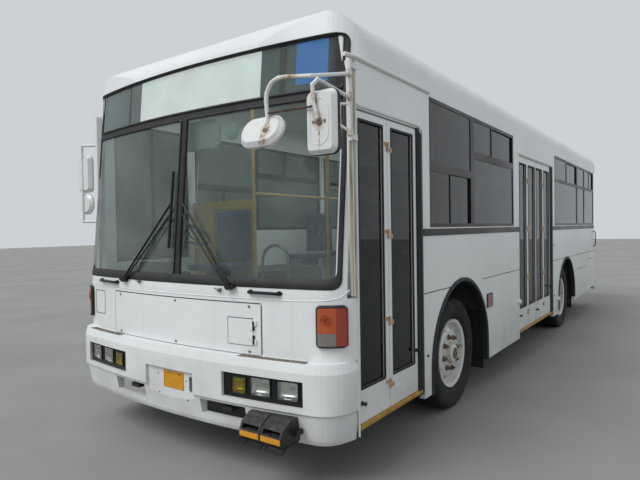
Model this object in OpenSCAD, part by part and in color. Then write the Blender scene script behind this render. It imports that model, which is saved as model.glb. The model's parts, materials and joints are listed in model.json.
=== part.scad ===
// Airport passenger bus, right-hand drive, doors on the left side.
// X runs to the bus's left, -Y to its front, Z up. Millimetres.
// A station is a distance behind the front reference line, along +Y.

/* [Body] */
// Width over the side walls
body_w = 2700; // [2680:10:2720]
// Station of the rear wall
rear_s = 9440; // [9440:10:9600]
// Height of the roof's middle
roof_z = 2990; // [2980:5:3000]
// Height where the roof meets the walls
gutter_z = 2625; // [2620:5:2630]
// Lowest edge of the side walls
skirt_z = 303; // [290:1:310]
// Thickness of the side walls
wall_t = 45; // [40:1:48]
// Thickness of the roof and end shells
shell_t = 34; // [26:1:40]
// Radius of the front corners seen from above
corner_r = 220; // [210:1:230]
// Radius of the front face seen from above
nose_r = 6812; // [6500:10:7000]
// Radius of the rear corners seen from above
rear_r = 180; // [170:1:190]
// Radius of the roof's long edges
roof_r = 200; // [190:1:210]
// Height of the cabin floor
floor_z = 820; // [810:1:830]

/* [Front] */
// Station of the front panel's middle
panel_s = 105; // [95:1:110]
// Height where the windscreen starts to lean back
lean_z = 1180; // [1170:1:1190]
// Lean of the windscreen, in degrees
lean_deg = 5.3; // [4:0.1:6]
// Station of the bumper's middle
bumper_s = 30; // [25:1:35]
// Height of the bumper's top
bumper_z = 800; // [790:1:810]
// Height of the crease low on the bumper
crease_z = 500; // [490:1:510]

/* [Windows] */
// Lower edge of the side windows
window_low_z = 1600; // [1595:1:1610]
// Upper edge of the side windows
window_top_z = 2606; // [2600:1:2610]
// Width of the frame around a group of side windows
window_rim = 30; // [25:1:35]
// Thickness of window glass
glass_t = 6; // [5:1:8]

/* [Doors] */
// Front edge of the front doorway
front_door_s = 400; // [398:1:402]
// Rear edge of the front doorway
front_door_end_s = 1243; // [1240:1:1250]
// Front edge of the middle doorway
mid_door_s = 3950; // [3945:1:3955]
// Rear edge of the middle doorway
mid_door_end_s = 5527; // [5520:1:5530]
// Underside of the door leaves
leaf_low_z = 397; // [397:1:400]
// Thickness of a door leaf
leaf_t = 36; // [34:1:38]

/* [Wheels] */
// Station of the front axle
front_axle_s = 2144; // [2140:1:2150]
// Distance between the axles
wheelbase = 4500; // [4480:5:4520]
// Outer radius of the tyres
tyre_r = 483; // [475:1:490]
// Width of one tyre
tyre_w = 275; // [265:1:280]
// Outer radius of the wheel rims
rim_r = 298.5; // [297:0.5:300]
// Middle plane of the outer tyres, from the bus's middle
track_x = 1137; // [1130:1:1140]
// Radius of the wheel arches
arch_r = 640; // [635:1:645]

/* [Hidden] */
$fn = 48;

mid_s = 4643;                       // station of the origin
half_w = body_w / 2;
rear_axle_s = front_axle_s + wheelbase;
axle_z = tyre_r;
wall_in_x = half_w - wall_t;
overlap = 1;                        // how far a cut runs past its solid
fit = 0.05;                         // radial play of a pin in its hole
joint = 0.3;                        // seam between members that lie against each other
clear = 5;                          // least gap beside a moving piece
far = 4000;                         // longer than any cut needs

corner_x = half_w - corner_r;
screen_top_z = 2806;
nose_deg = asin(corner_x / (nose_r - corner_r));
pillar_s = 398;                     // where the front shells end at the sides
rear_shell_s = rear_s - rear_r;

window_z = [window_low_z, window_top_z];
belt_z = [1535, 1590];
pane_low = window_low_z + window_rim;
pane_top = window_top_z - window_rim;

// Groups of side windows: side (1 left, -1 right, 0 both), first station, last station,
// low edge, top edge
WINDOW_GROUPS = [
    [0, 1468, 3745, window_low_z, window_top_z],
    [0, 5800, 9230, window_low_z, window_top_z],
    [-1, 3840, 5705, window_low_z, window_top_z],
    [-1, 520, 1372, 1330, window_top_z]];

// Panes: side, first station, last station, low edge, top edge, depth of the glass
PANES = [
    [0, 1498, 2385, 2105, pane_top, 8],
    [0, 1498, 1888, pane_low, 2038, 8],
    [0, 1912, 2385, pane_low, 2038, 20],
    [0, 2475, 3715, pane_low, 2228, 8],
    [0, 2475, 2978, 2296, pane_top, 8],
    [0, 3002, 3715, 2296, pane_top, 20],
    [0, 5830, 7510, pane_low, 2235, 8],
    [0, 5830, 6658, 2280, pane_top, 8],
    [0, 6682, 7510, 2280, pane_top, 20],
    [0, 7596, 8190, pane_low, 2235, 8],
    [0, 7596, 8190, 2280, pane_top, 8],
    [0, 8266, 9200, pane_low, 2235, 8],
    [0, 8266, 8721, 2280, pane_top, 8],
    [0, 8745, 9200, 2280, pane_top, 20],
    [-1, 3870, 5675, pane_low, 2235, 8],
    [-1, 3870, 4760, 2280, pane_top, 8],
    [-1, 4784, 5675, 2280, pane_top, 20],
    [-1, 550, 934, 1360, pane_top, 8],
    [-1, 958, 1342, 1360, pane_top, 20]];

// Door leaves: station of the pivot or fold, width towards the other edge, front (-1) or
// rear (1) of that axis, top edge, low edge of the glass, top edge of the glass,
// frame beside the axis, frame at the free edge
front_post_leaf = [front_door_end_s - clear, 434, -1, 2320, 612, 2266, 55, 56];
front_lead_leaf = [front_post_leaf[0] - 440, 386, -1, 2320, 612, 2266, 58, 28];
mid_leaf_w = 384;
mid_post_leaf = [mid_door_s + clear, mid_leaf_w, 1, 2408, 643, 2329, 50, 50];
mid_lead_leaf = [mid_post_leaf[0] + mid_leaf_w + 6, mid_leaf_w, 1, 2408, 643, 2329, 50, 30];
mid_middle_s = (mid_door_s + mid_door_end_s) / 2;

leaf_out_x = half_w - 8;
leaf_in_x = leaf_out_x - leaf_t;
fold_x = leaf_out_x + 9;            // axis between two leaves, just outside them
barrel_r = 8;
barrel_pin_r = 4;
plate_t = 4;
HINGE_HEIGHTS = [560, 980, 1560, 2140];
pivot_pin_r = 10;
pivot_in = 12;                      // a post pivot, from its leaf's end
sill_z = [369, 391];

well_x = half_w - 520;              // inner edge of the lowest steps
front_well_x = 500;                 // inner edges of the step wells
mid_well_x = 560;
wheel_box_x = track_x - 497;        // inner side of the front wheel boxes
rear_box_x = track_x - 527;
wheel_box_z = 1165;
rear_box_z = 1120;
wheel_half = 670;                   // half the length of a front wheel box
rear_half = 610;
deck_s = 8050;                      // where the raised rear deck starts
deck_z = 1225;
floor_t = 40;

kingpin_x = track_x - 192;
arm_s = front_axle_s + 230;         // steering arms' pins, straight behind the kingpins
arm_x = kingpin_x;
arm_z = 392;
spindle_r = 38;
kingpin_r = 22;

tow_x = 495;
tow_s = 155;
tow_z = 410;
tow_r = 18;

cover_x = 780;
cover_z = [bumper_z + 4, 1130];
flap_x = [515, 715];
flap_z = [862, 1031];
flap_hinge_x = flap_x[1] + 12;
lid_x = 880;
lid_z = [560, 1330];

function arc(c, r, a, b, n) =
    [for (i = [0:n]) let (t = a + (b - a) * i / n) [c.x + r * cos(t), c.y + r * sin(t)]];
function corner_s(nose) = nose + nose_r - sqrt(pow(nose_r - corner_r, 2) - pow(corner_x, 2));
function nose_line(nose, inset) = concat(
    arc([-corner_x, corner_s(nose)], corner_r - inset, -180, -90 - nose_deg, 9),
    arc([0, nose + nose_r], nose_r - inset, -90 - nose_deg, -90 + nose_deg, 14),
    arc([corner_x, corner_s(nose)], corner_r - inset, -90 + nose_deg, 0, 9));
function rear_line(inset) = concat(
    arc([half_w - rear_r, rear_shell_s], rear_r - inset, 0, 90, 8),
    arc([-half_w + rear_r, rear_shell_s], rear_r - inset, 90, 180, 8));
function pivot_s(leaf) = leaf[0] + leaf[2] * pivot_in;
function mirrored(leaf) = [for (i = [0:len(leaf) - 1])
    i == 0 ? 2 * mid_middle_s - leaf[0] : i == 2 ? -leaf[2] : leaf[i]];
function nose_at(nose, x) = nose + nose_r - sqrt(nose_r * nose_r - x * x);

module in_frame() translate([0, -mid_s, 0]) children();
module both() { children(); mirror([1, 0, 0]) children(); }
module block(x, s, z) translate([x[0], s[0], z[0]])
    cube([x[1] - x[0], s[1] - s[0], z[1] - z[0]]);
// A block that leaves half a seam on each side
module member(x, s, z) {
    h = joint / 2;
    block([x[0] + h, x[1] - h], [s[0] + h, s[1] - h], [z[0] + h, z[1] - h]);
}
// A sheet drawn as station and height, standing along the bus from x outwards
module side_sheet(x, t) translate([x, 0, 0]) rotate([90, 0, 90]) linear_extrude(t) children();
// A section drawn as x and height, running rearwards from station s
module cross_sheet(s, t) translate([0, s + t, 0]) rotate([90, 0, 0]) linear_extrude(t) children();
module rod(p, q, r) {
    d = q - p;
    translate(p) rotate([0, acos(d.z / norm(d)), atan2(d.y, d.x)]) cylinder(r = r, h = norm(d));
}
module tube_run(points, r) {
    for (i = [0:len(points) - 2]) rod(points[i], points[i + 1], r);
    for (p = points) translate(p) sphere(r = r * 1.12);
}
module axle_turned(s, x) translate([x, s, axle_z]) rotate([0, 90, 0]) children();
module standing(x, s, z, h, r) translate([x, s, z]) cylinder(r = r, h = h);

module plan(nose, inset) polygon(concat(nose_line(nose, inset), rear_line(inset)));
module upright(nose, inset, z) translate([0, 0, z[0]]) linear_extrude(z[1] - z[0]) plan(nose, inset);
module leaning(inset) translate([0, panel_s + 5, lean_z]) rotate([-lean_deg, 0, 0])
    translate([0, -panel_s - 5, -800]) linear_extrude(4400) plan(panel_s + 5, inset);
// Shell between two insets of the leaning front, cut to a height range
module front_shell(a, b, z, x = half_w, s = pillar_s) intersection() {
    difference() { leaning(a); leaning(b); }
    block([-x, x], [0, s], z);
}
module panel_shell(nose, a, b, z, x = half_w, s = pillar_s) intersection() {
    difference() { upright(nose, a, z); upright(nose, b, [z[0] - overlap, z[1] + overlap]); }
    block([-x, x], [0, s], z);
}

crown_r = (pow(half_w - roof_r, 2) + pow(roof_z - gutter_z - 125, 2) - roof_r * roof_r)
    / (2 * (roof_z - gutter_z - 125 - roof_r));
module roof_section(inset) {
    edge = [half_w - roof_r, gutter_z + 125];
    lean = asin(edge.x / (crown_r - roof_r));
    polygon(concat(
        [[half_w - inset, gutter_z - 200]],
        arc(edge, roof_r - inset, 0, 90 - lean, 8),
        arc([0, roof_z - crown_r], crown_r - inset, 90 - lean, 90 + lean, 12),
        arc([-edge.x, edge.y], roof_r - inset, 90 + lean, 180, 8),
        [[-half_w + inset, gutter_z - 200]]));
}
module roof_profile(inset) {
    r = 230;
    front = 290;
    polygon(concat(
        [[front + inset - 40, gutter_z - 200], [front + inset, 2790]],
        arc([front + r, roof_z + 12 - r], r - inset, 172, 92, 8),
        arc([rear_s - r, roof_z - r], r - inset, 90, 0, 8),
        [[rear_s - inset, gutter_z - 200]]));
}
module roof_body(inset) intersection() {
    leaning(inset);
    cross_sheet(0, rear_s + 100) roof_section(inset);
    side_sheet(-half_w, body_w) roof_profile(inset);
}

rail_x = 430;                       // middle of a frame rail
rear_rail_x = 560;
rail_w = 35;                        // half the width of a rail
function around(x) = [x - rail_w, x + rail_w];
module underframe() color("dimgray") in_frame() {
    for (side = [-1, 1]) {
        member(around(side * rail_x), [260, 8040], [600, 760]);
        member(around(side * rear_rail_x), [8100, 9330], [560, 700]);
    }
    // Cross members: station, reach to the right, reach to the left, low height, top height
    for (m = [[300, 1180, 1180, 640, 700], [1250, 1290, 440, 690, 760], [2950, 1290, 1290, 690, 760],
              [3850, 1290, 1290, 690, 760], [5640, 1290, 1290, 690, 760], [7400, 1290, 1290, 690, 760]])
        for (x = [[-m[1], -rail_x - rail_w], [-rail_x + rail_w, rail_x - rail_w], [rail_x + rail_w, m[2]]])
            if (x[1] > x[0]) member(x, [m[0] - 30, m[0] + 30], [m[3], m[4]]);
    member([-595, 595], [8040, 8100], [560, 760]);
    member([-1180, 1180], [9330, 9390], [560, 700]);
    // Engine bearers, hung from the rails
    for (s = [8400, 9000]) {
        member([-595, 595], [s, s + 60], [300, 330]);
        for (side = [-1, 1])
            member(around(side * rear_rail_x), [s, s + 60], [330, 560]);
    }
    // Struts up to the floor
    for (s = [1220, 2920, 3820, 5610, 7370]) for (side = [-1, 1])
        member(around(side * rail_x), [s, s + 60], [760, floor_z - floor_t]);
    both() difference() {
        block([tow_x - 45, tow_x + 45], [115, 300], [tow_z, tow_z + 30]);
        standing(tow_x, tow_s, tow_z - 10, 60, tow_r);
    }
    both() member([tow_x - 45, tow_x + 45], [270, 300], [tow_z + 30, 640]);
}

module floor() color("slategray") in_frame() {
    // Deck panels: low x, high x, first station, last station
    for (p = [[-wall_in_x, front_well_x - 20, 420, front_door_end_s + 40],
              [-wall_in_x, wall_in_x, front_door_end_s + 40, front_axle_s - wheel_half],
              [-wheel_box_x, wheel_box_x, front_axle_s - wheel_half, front_axle_s + wheel_half],
              [-wall_in_x, wall_in_x, front_axle_s + wheel_half, mid_door_s - 40],
              [-wall_in_x, mid_well_x - 20, mid_door_s - 40, mid_door_end_s + 40],
              [-wall_in_x, wall_in_x, mid_door_end_s + 40, rear_axle_s - rear_half],
              [-rear_box_x, rear_box_x, rear_axle_s - rear_half, rear_axle_s + rear_half],
              [-wall_in_x, wall_in_x, rear_axle_s + rear_half, deck_s]])
        member([p[0], p[1]], [p[2], p[3]], [floor_z - floor_t, floor_z]);
    member([-wall_in_x, wall_in_x], [deck_s, deck_s + floor_t], [floor_z - floor_t, deck_z - floor_t]);
    intersection() {
        member([-wall_in_x, wall_in_x], [deck_s, rear_s], [deck_z - floor_t, deck_z]);
        upright(panel_s, wall_t, [deck_z - floor_t, deck_z]);
    }
    both() {
        wheel_box(front_axle_s, wheel_half, wheel_box_x, wheel_box_z);
        wheel_box(rear_axle_s, rear_half, rear_box_x, rear_box_z);
    }
    step_well(front_door_s - 20, front_door_end_s + 40, front_well_x);
    step_well(mid_door_s - 40, mid_door_end_s + 40, mid_well_x);
}
// Inner side, two ends and top of the box over a wheel
module wheel_box(s, half, x, z) {
    t = 20;
    low = floor_z - floor_t;
    member([x, x + t], [s - half, s + half], [low, z - t]);
    for (end = [s - half, s + half - t]) member([x + t, wall_in_x], [end, end + t], [low, z - t]);
    member([x, wall_in_x], [s - half, s + half], [z - t, z]);
}
// Two steps with their risers, and the plates at both ends
module step_well(s0, s1, x) {
    t = 20;
    member([well_x - t, wall_in_x], [s0, s1], [340, 360]);
    member([well_x - t, well_x], [s0, s1], [360, 560]);
    member([x - t, well_x], [s0, s1], [560, 590]);
    member([x - t, x], [s0, s1], [590, floor_z]);
    for (end = [s0, s1 - t]) {
        member([well_x, wall_in_x], [end, end + t], [360, 590]);
        member([x, wall_in_x], [end, end + t], [590, floor_z]);
    }
}

module wall_outline(door) {
    skirt = [[rear_shell_s, gutter_z], [rear_shell_s, 415], [rear_axle_s + 700, 355],
        [rear_axle_s, 355], [rear_axle_s, skirt_z]];
    polygon(door
        ? concat([[front_door_s, 2330], [front_door_s, gutter_z]], skirt,
            [[front_door_end_s + 100, skirt_z], [front_door_end_s + 100, 2330]])
        : concat([[pillar_s, gutter_z]], skirt, [[1300, skirt_z], [pillar_s, 350]]));
}
module wall_openings(side) {
    for (g = WINDOW_GROUPS)
        if (g[0] == 0 || g[0] == side)
            translate([g[1], g[3]]) square([g[2] - g[1], g[4] - g[3]]);
    for (s = [front_axle_s, rear_axle_s])
        translate([s, axle_z]) circle(r = s == front_axle_s ? arch_r : arch_r - 45);
    for (s = [front_axle_s, rear_axle_s])
        translate([s - arch_r + (s == front_axle_s ? 0 : 45), 0])
            square([2 * (arch_r - (s == front_axle_s ? 0 : 45)), axle_z]);
}
module side_wall_left() color("white") in_frame() difference() {
    side_sheet(wall_in_x, wall_t) difference() {
        wall_outline(true);
        wall_openings(1);
        translate([mid_door_s, 0]) square([mid_door_end_s + 165 - mid_door_s, 2414]);
    }
    for (s = [pivot_s(front_post_leaf), pivot_s(mid_post_leaf), 2 * mid_middle_s - pivot_s(mid_post_leaf)])
        standing(leaf_in_x, s, 2300, 150, pivot_pin_r + fit);
    // Seams beside the panel over the middle door
    for (s = [mid_door_s - joint, mid_door_end_s + 165])
        block([wall_in_x - 1, half_w + 1], [s, s + joint], [2400, gutter_z + 1]);
}
module side_wall_right() color("white") in_frame() side_sheet(-half_w, wall_t) difference() {
    wall_outline(false);
    wall_openings(-1);
}

module roof() color("white") in_frame() intersection() {
    difference() {
        roof_body(0);
        roof_body(shell_t);
        block([-1285, 1285], [0, 392], [0, screen_top_z]);
    }
    block([-half_w, half_w], [0, rear_s + 100], [gutter_z, roof_z + 50]);
}

module front_panel() color("white") in_frame() {
    difference() {
        panel_shell(panel_s, 0, shell_t, [bumper_z + joint, lean_z]);
        block([-cover_x, cover_x], [0, 250], [bumper_z - overlap, cover_z[1]]);
    }
    both() corner_post();
}
// Pillar between the windscreen's edge and the side wall
module corner_post() difference() {
    translate([0, 0, lean_z + 12]) linear_extrude(gutter_z - lean_z - 12) polygon([
        [1262, pillar_s], [1290, 392], [1314, 352], [1336, 348], [half_w, 362], [half_w, pillar_s]]);
    leaning_core();
}
module leaning_core() intersection() {
    leaning(1);
    block([0, half_w], [0, pillar_s - 2], [lean_z, gutter_z]);
}
module front_cover() color("white") in_frame() {
    difference() {
        panel_shell(panel_s, -3, shell_t - 6, cover_z, cover_x);
        block([flap_x[0] - 6, flap_x[1] + 6], [0, 250], [flap_z[0] - 6, flap_z[1] + 6]);
    }
    flap_hinge(false);
}
// Barrels on the flap's axis: low height, length, and whether they belong to the flap
FLAP_BARRELS = [[872, 30, false], [902.5, 30, true], [961, 30, true], [991.5, 30, false]];
flap_axis_s = nose_at(panel_s, flap_hinge_x) - 9;
module flap_hinge(own) for (b = FLAP_BARRELS) if (b[2] == own) {
    difference() {
        union() {
            standing(flap_hinge_x, flap_axis_s, b[0], b[1], 6);
            if (own) block([flap_x[1] - 30, flap_hinge_x], [flap_axis_s, flap_axis_s + 5], [b[0], b[0] + b[1]]);
            else block([flap_hinge_x, flap_hinge_x + 22], [flap_axis_s, flap_axis_s + 8], [b[0], b[0] + b[1]]);
        }
        if (own) standing(flap_hinge_x, flap_axis_s, b[0] - 1, b[1] + 2, 3 + fit);
    }
    if (!own) standing(flap_hinge_x, flap_axis_s, b[0] < 930 ? b[0] : b[0] - 22, b[1] + 22, 3);
}
module front_flap() color("white") in_frame() {
    intersection() {
        panel_shell(panel_s, -3, 16, flap_z, flap_x[1]);
        block(flap_x, [0, 250], flap_z);
    }
    flap_hinge(true);
}

module windscreen_frame() color("black") in_frame() difference() {
    front_shell(4, 26, [lean_z, screen_top_z], 1285, 390);
    screen_openings();
}
module screen_openings() {
    for (side = [-1, 1])
        block([min(side * 30, side * 1400), max(side * 30, side * 1400)], [0, 384], [1270, 2405]);
    block([-1222, 1222], [0, 384], [2462, 2790]);
}
module windscreen_glass() color("lightcyan", 0.4) in_frame() intersection() {
    front_shell(8, 8 + glass_t, [lean_z, screen_top_z], 1285, 384);
    screen_openings();
}
module sign_box() color("white") in_frame() {
    // Shallow box across the front, with raised panels: low x, high x, low z, high z
    front_shell(26.3, 60, [2450, screen_top_z], 1250, 388);
    for (p = [[-580, 680, 2480, 2780], [952, 1188, 2524, 2780]])
        intersection() {
            difference() { leaning(22); leaning(30); }
            block([p[0], p[1]], [0, 383.5], [p[2], p[3]]);
        }
}

// Sections of the bumper: height, and how far its face is set in
BUMPER = [[303, 58], [330, 46], [484, 16], [500, 0], [742, 0], [bumper_z, 15]];
module bumper_body(inset) for (i = [0:len(BUMPER) - 2]) hull() for (b = [BUMPER[i], BUMPER[i + 1]])
    translate([0, 0, b[0]]) linear_extrude(0.01)
        polygon(concat(nose_line(bumper_s, b[1] + inset), [[half_w - inset, 500], [-half_w + inset, 500]]));
module front_bumper() color("white") in_frame() difference() {
    bumper_body(0);
    upright(bumper_s, 112, [200, 900]);
    upright(bumper_s, 84, [200, bumper_z - 30]);
    block([-2000, 2000], [pillar_s, 1000], [200, 900]);
    block([well_x - 30, wall_in_x + joint], [front_door_s - 20 - joint, 500], [200, 900]);
    block([-252, 252], [0, 56], [410, 640]);
    both() lamp_space();
    both() block([300, 690], [0, 300], [375, 477]);
}
module lamp_space() block([516, 1123], [0, 300], [532, 692]);

module lamp_panels() color("black") in_frame() both() difference() {
    panel_shell(bumper_s, 22, 60, [532, 692], 1123);
    block([-far, 516], [0, 300], [500, 700]);
    for (lamp = LAMPS) block([lamp[0], lamp[1]], [0, 300], [lamp[2], lamp[3]]);
}
// Front lamps: first x, last x, low z, high z
LAMPS = [[591, 701, 564, 662], [739, 888, 567, 678], [939, 1088, 567, 678]];
module headlamps() color("gainsboro") in_frame() both() for (lamp = LAMPS) intersection() {
    panel_shell(bumper_s, 14, 60, [lamp[2], lamp[3]], lamp[1]);
    block([lamp[0], lamp[1]], [0, 300], [lamp[2], lamp[3]]);
}
module turn_lamps() color("orange") in_frame() {
    both() intersection() {
        panel_shell(panel_s, -26, -0.3, [905, 1131], half_w + 26, 392);
        block([1192, 1400], [150, 298], [905, 1131]);
    }
    both() block([half_w, half_w + 12], [2793, 2949], [809, 936]);
}
module number_plate() color("gold") in_frame()
    block([-72, 142], [53, 56], [500, 620]);
// Rack under the chocks: a shelf on the bumper's foot with two wire loops and a catch
module chock_holder() color("black") in_frame() {
    difference() {
        union() {
            block([745, 1079], [-14, 140], [326, 330]);
            block([1090, 1112], [70, 140], [384, 410]);
        }
        bumper_body(-joint);
    }
    for (x = [760, 926]) tube_run([[x, 60, 324], [x, -4, 288], [x + 132, -4, 288], [x + 132, 60, 324]], 4);
}
// Two wedges side by side, hollow in front
module chocks() color("dimgray") in_frame()
    for (x = [747, 914]) difference() {
        translate([x, 0, 0]) rotate([90, 0, 90]) linear_extrude(162)
            polygon([[150, 330 + joint], [150, 476], [62, 474], [-8, 434], [-30, 388], [-30, 350],
                [-10, 330 + joint]]);
        block([x + 14, x + 148], [-100, 40], [394, 424]);
        bumper_body(-joint);
    }

module rear_panel() color("white") in_frame() {
    rear_shell();
    lid_hinge(false);
}
module rear_shell() difference() {
    intersection() {
        difference() {
            upright(panel_s, 0, [355, gutter_z]);
            upright(panel_s, shell_t, [300, 2700]);
        }
        block([-half_w, half_w], [rear_shell_s, rear_s], [355, gutter_z]);
    }
    block([-950, 950], [rear_shell_s, rear_s + 50], [1650, 2450]);
    block([-lid_x - 6, lid_x + 6], [rear_shell_s, rear_s + 50], [lid_z[0] - 6, lid_z[1] + 6]);
}
lid_axis = [rear_s + 10, lid_z[1] + 6];     // station and height of the lid's hinge
lid_barrel_r = 8;
module lid_hinge(own) for (x = [-600, 560]) {
    part = own ? [x, x + 40] : [x + 40.5, x + 80];
    difference() {
        union() {
            translate([part[0], lid_axis[0], lid_axis[1]]) rotate([0, 90, 0])
                cylinder(r = lid_barrel_r, h = part[1] - part[0]);
            if (own) block(part, [rear_s, rear_s + 6], [lid_axis[1] - 70, lid_axis[1]]);
            else block(part, [rear_s, rear_s + 6], [lid_axis[1], lid_axis[1] + 40]);
        }
        if (own) translate([x - 1, lid_axis[0], lid_axis[1]]) rotate([0, 90, 0]) cylinder(r = 4 + fit, h = 42);
    }
    if (!own) translate([x + 10, lid_axis[0], lid_axis[1]]) rotate([0, 90, 0]) cylinder(r = 4, h = 60);
}
module engine_lid() color("white") in_frame() {
    difference() {
        block([-lid_x, lid_x], [rear_s - 30, rear_s], lid_z);
        for (i = [0:9]) block([-500, 500], [rear_s - 40, rear_s + 10], [700 + 44 * i, 722 + 44 * i]);
    }
    lid_hinge(true);
}
module rear_bumper() color("white") in_frame() intersection() {
    difference() {
        upright(panel_s, -22, [330, 540]);
        upright(panel_s, 0, [300, 600]);
    }
    block([-half_w - 30, half_w + 30], [rear_shell_s + 30, rear_s + 60], [330, 540]);
}
// Rear lamps: first x, last x, low z, high z
REAR_LAMPS = [[1010, 1150, 640, 780], [1010, 1150, 790, 930], [1010, 1150, 940, 1040]];
module tail_lamps() color("firebrick") in_frame() both()
    for (lamp = REAR_LAMPS) block([lamp[0], lamp[1]], [rear_s, rear_s + 25], [lamp[2], lamp[3]]);

module on_side(side, depth, t, g) {
    x = side * (half_w - depth);
    block([min(x, x - side * t), max(x, x - side * t)], [g[1], g[2]], [g[3], g[4]]);
}
module window_frames() color("black") in_frame() {
    for (side = [-1, 1]) {
        for (g = WINDOW_GROUPS) if (g[0] == 0 || g[0] == side) difference() {
            on_side(side, 2, 34, g);
            for (p = PANES) if (p[0] == 0 || p[0] == side) on_side(side, -10, 100, p);
        }
        on_side(side, -6, 6, [0, 1343, mid_door_s, belt_z[0], belt_z[1]]);
        on_side(side, -6, 6, [0, 5700, rear_shell_s, belt_z[0], belt_z[1]]);
    }
    on_side(-1, -6, 6, [0, mid_door_s, 5700, belt_z[0], belt_z[1]]);
    difference() {
        block([-950, 950], [rear_s - 32, rear_s - 2], [1650, 2450]);
        for (x = [[-920, -15], [15, 920]]) block(x, [rear_s - 60, rear_s + 20], [1680, 2420]);
    }
}
module cabin_glass() color("slategray", 0.5) in_frame() {
    for (side = [-1, 1]) for (p = PANES) if (p[0] == 0 || p[0] == side)
        on_side(side, p[5], glass_t, p);
    for (x = [[-920, -15], [15, 920]]) block(x, [rear_s - 20, rear_s - 14], [1680, 2420]);
}

module door_frames() color("black") in_frame() {
    // Jamb rubbers: first station, last station, top
    for (j = [[front_door_end_s, front_door_end_s + 100, 2330], [mid_door_end_s, mid_door_end_s + 165, 2414]])
        member([wall_in_x, half_w - 6], [j[0], j[1]], [350, j[2]]);
    door_track(front_door_s, front_door_end_s, 2330, [pivot_s(front_post_leaf)]);
    door_track(mid_door_s, mid_door_end_s, 2418,
        [pivot_s(mid_post_leaf), 2 * mid_middle_s - pivot_s(mid_post_leaf)]);
}
// Header and sill with the holes for the pivot pins
module door_track(s0, s1, top, pivots) difference() {
    union() {
        block([leaf_in_x - 30, wall_in_x], [s0, s1], [top - 2, top + 40]);
        block([leaf_in_x - 30, half_w], [s0, s1], sill_z);
    }
    for (s = pivots) standing(leaf_in_x, s, 300, far, pivot_pin_r + fit);
}

// A leaf's frame, and pins where it pivots on its post
module leaf_frame(leaf) {
    a = leaf[0];
    d = leaf[2];
    e = a + d * leaf[1];
    difference() {
        block([leaf_in_x, leaf_out_x], [min(a, e), max(a, e)], [leaf_low_z, leaf[3]]);
        leaf_hole(leaf, -overlap, leaf_t + 2 * overlap);
    }
}
module leaf_hole(leaf, depth, t) {
    a = leaf[0] + leaf[2] * leaf[6];
    e = leaf[0] + leaf[2] * (leaf[1] - leaf[7]);
    block([leaf_out_x - depth - t, leaf_out_x - depth], [min(a, e), max(a, e)], [leaf[4], leaf[5]]);
}
module leaf_pane(leaf) leaf_hole(leaf, 14, glass_t);
module pivot_pins(leaf) {
    s = pivot_s(leaf);
    for (z = [[380, leaf_low_z + 20], [leaf[3] - 20, leaf[3] + 30]])
        standing(leaf_in_x, s, z[0], z[1] - z[0], pivot_pin_r);
}
// Fold hinges: plates on the outer faces, with barrels and pins on the axis
module hinge_half(s, side, upper) for (z = HINGE_HEIGHTS) difference() {
    low = upper ? z + 0.3 : z - 32;
    union() {
        standing(fold_x, s, low, 31.7, barrel_r);
        block([leaf_out_x, leaf_out_x + plate_t], [min(s, s + side * 60), max(s, s + side * 60)],
            [low, low + 31.7]);
        if (!upper) standing(fold_x, s, z - 20, 45, barrel_pin_r);
    }
    if (upper) standing(fold_x, s, z - 1, 34, barrel_pin_r + fit);
}
module front_leaf_lead() color("white") in_frame() {
    leaf_frame(front_lead_leaf);
    hinge_half(front_lead_leaf[0] + 3, -1, true);
}
module front_leaf_post() color("white") in_frame() {
    leaf_frame(front_post_leaf);
    pivot_pins(front_post_leaf);
    hinge_half(front_lead_leaf[0] + 3, 1, false);
}
module front_glass_lead() color("slategray", 0.5) in_frame() leaf_pane(front_lead_leaf);
module front_glass_post() color("slategray", 0.5) in_frame() leaf_pane(front_post_leaf);
module mid_post(leaf) color("white") in_frame() {
    leaf_frame(leaf);
    pivot_pins(leaf);
    hinge_half(leaf[0] + leaf[2] * (mid_leaf_w + 3), -leaf[2], false);
}
module mid_lead(leaf) color("white") in_frame() {
    leaf_frame(leaf);
    hinge_half(leaf[0] - leaf[2] * 3, leaf[2], true);
}
module mid_leaf_1() mid_post(mid_post_leaf);
module mid_leaf_2() mid_lead(mid_lead_leaf);
module mid_leaf_3() mid_lead(mirrored(mid_lead_leaf));
module mid_leaf_4() mid_post(mirrored(mid_post_leaf));
module mid_glass_1() color("slategray", 0.5) in_frame() leaf_pane(mid_post_leaf);
module mid_glass_2() color("slategray", 0.5) in_frame() leaf_pane(mid_lead_leaf);
module mid_glass_3() color("slategray", 0.5) in_frame() leaf_pane(mirrored(mid_lead_leaf));
module mid_glass_4() color("slategray", 0.5) in_frame() leaf_pane(mirrored(mid_post_leaf));

module front_axle() color("dimgray") in_frame() {
    difference() {
        union() {
            block([-kingpin_x, kingpin_x], [front_axle_s - 45, front_axle_s + 45], [430, 536]);
            both() standing(kingpin_x, front_axle_s, 423, 120, 50);
        }
        both() standing(kingpin_x, front_axle_s, 400, 200, kingpin_r + fit);
    }
}
module knuckle() {
    s = front_axle_s;
    for (z = [382, 550]) {
        standing(kingpin_x, s, z, 34, 46);
        block([kingpin_x, kingpin_x + 86], [s - 46, s + 46], [z, z + 34]);
    }
    block([kingpin_x + 58, kingpin_x + 86], [s - 46, s + 46], [382, 584]);
    standing(kingpin_x, s, 382, 202, kingpin_r);
    axle_turned(s, kingpin_x + 80) cylinder(r = spindle_r, h = 200);
    hull() {
        standing(kingpin_x, s + 30, 382, 24, 26, $fn = 32);
        standing(arm_x, arm_s, 382, 24, 26, $fn = 32);
    }
    standing(arm_x, arm_s, 350, 44, 12);
}
module knuckle_left() color("dimgray") in_frame() knuckle();
module knuckle_right() color("dimgray") in_frame() mirror([1, 0, 0]) knuckle();
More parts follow.
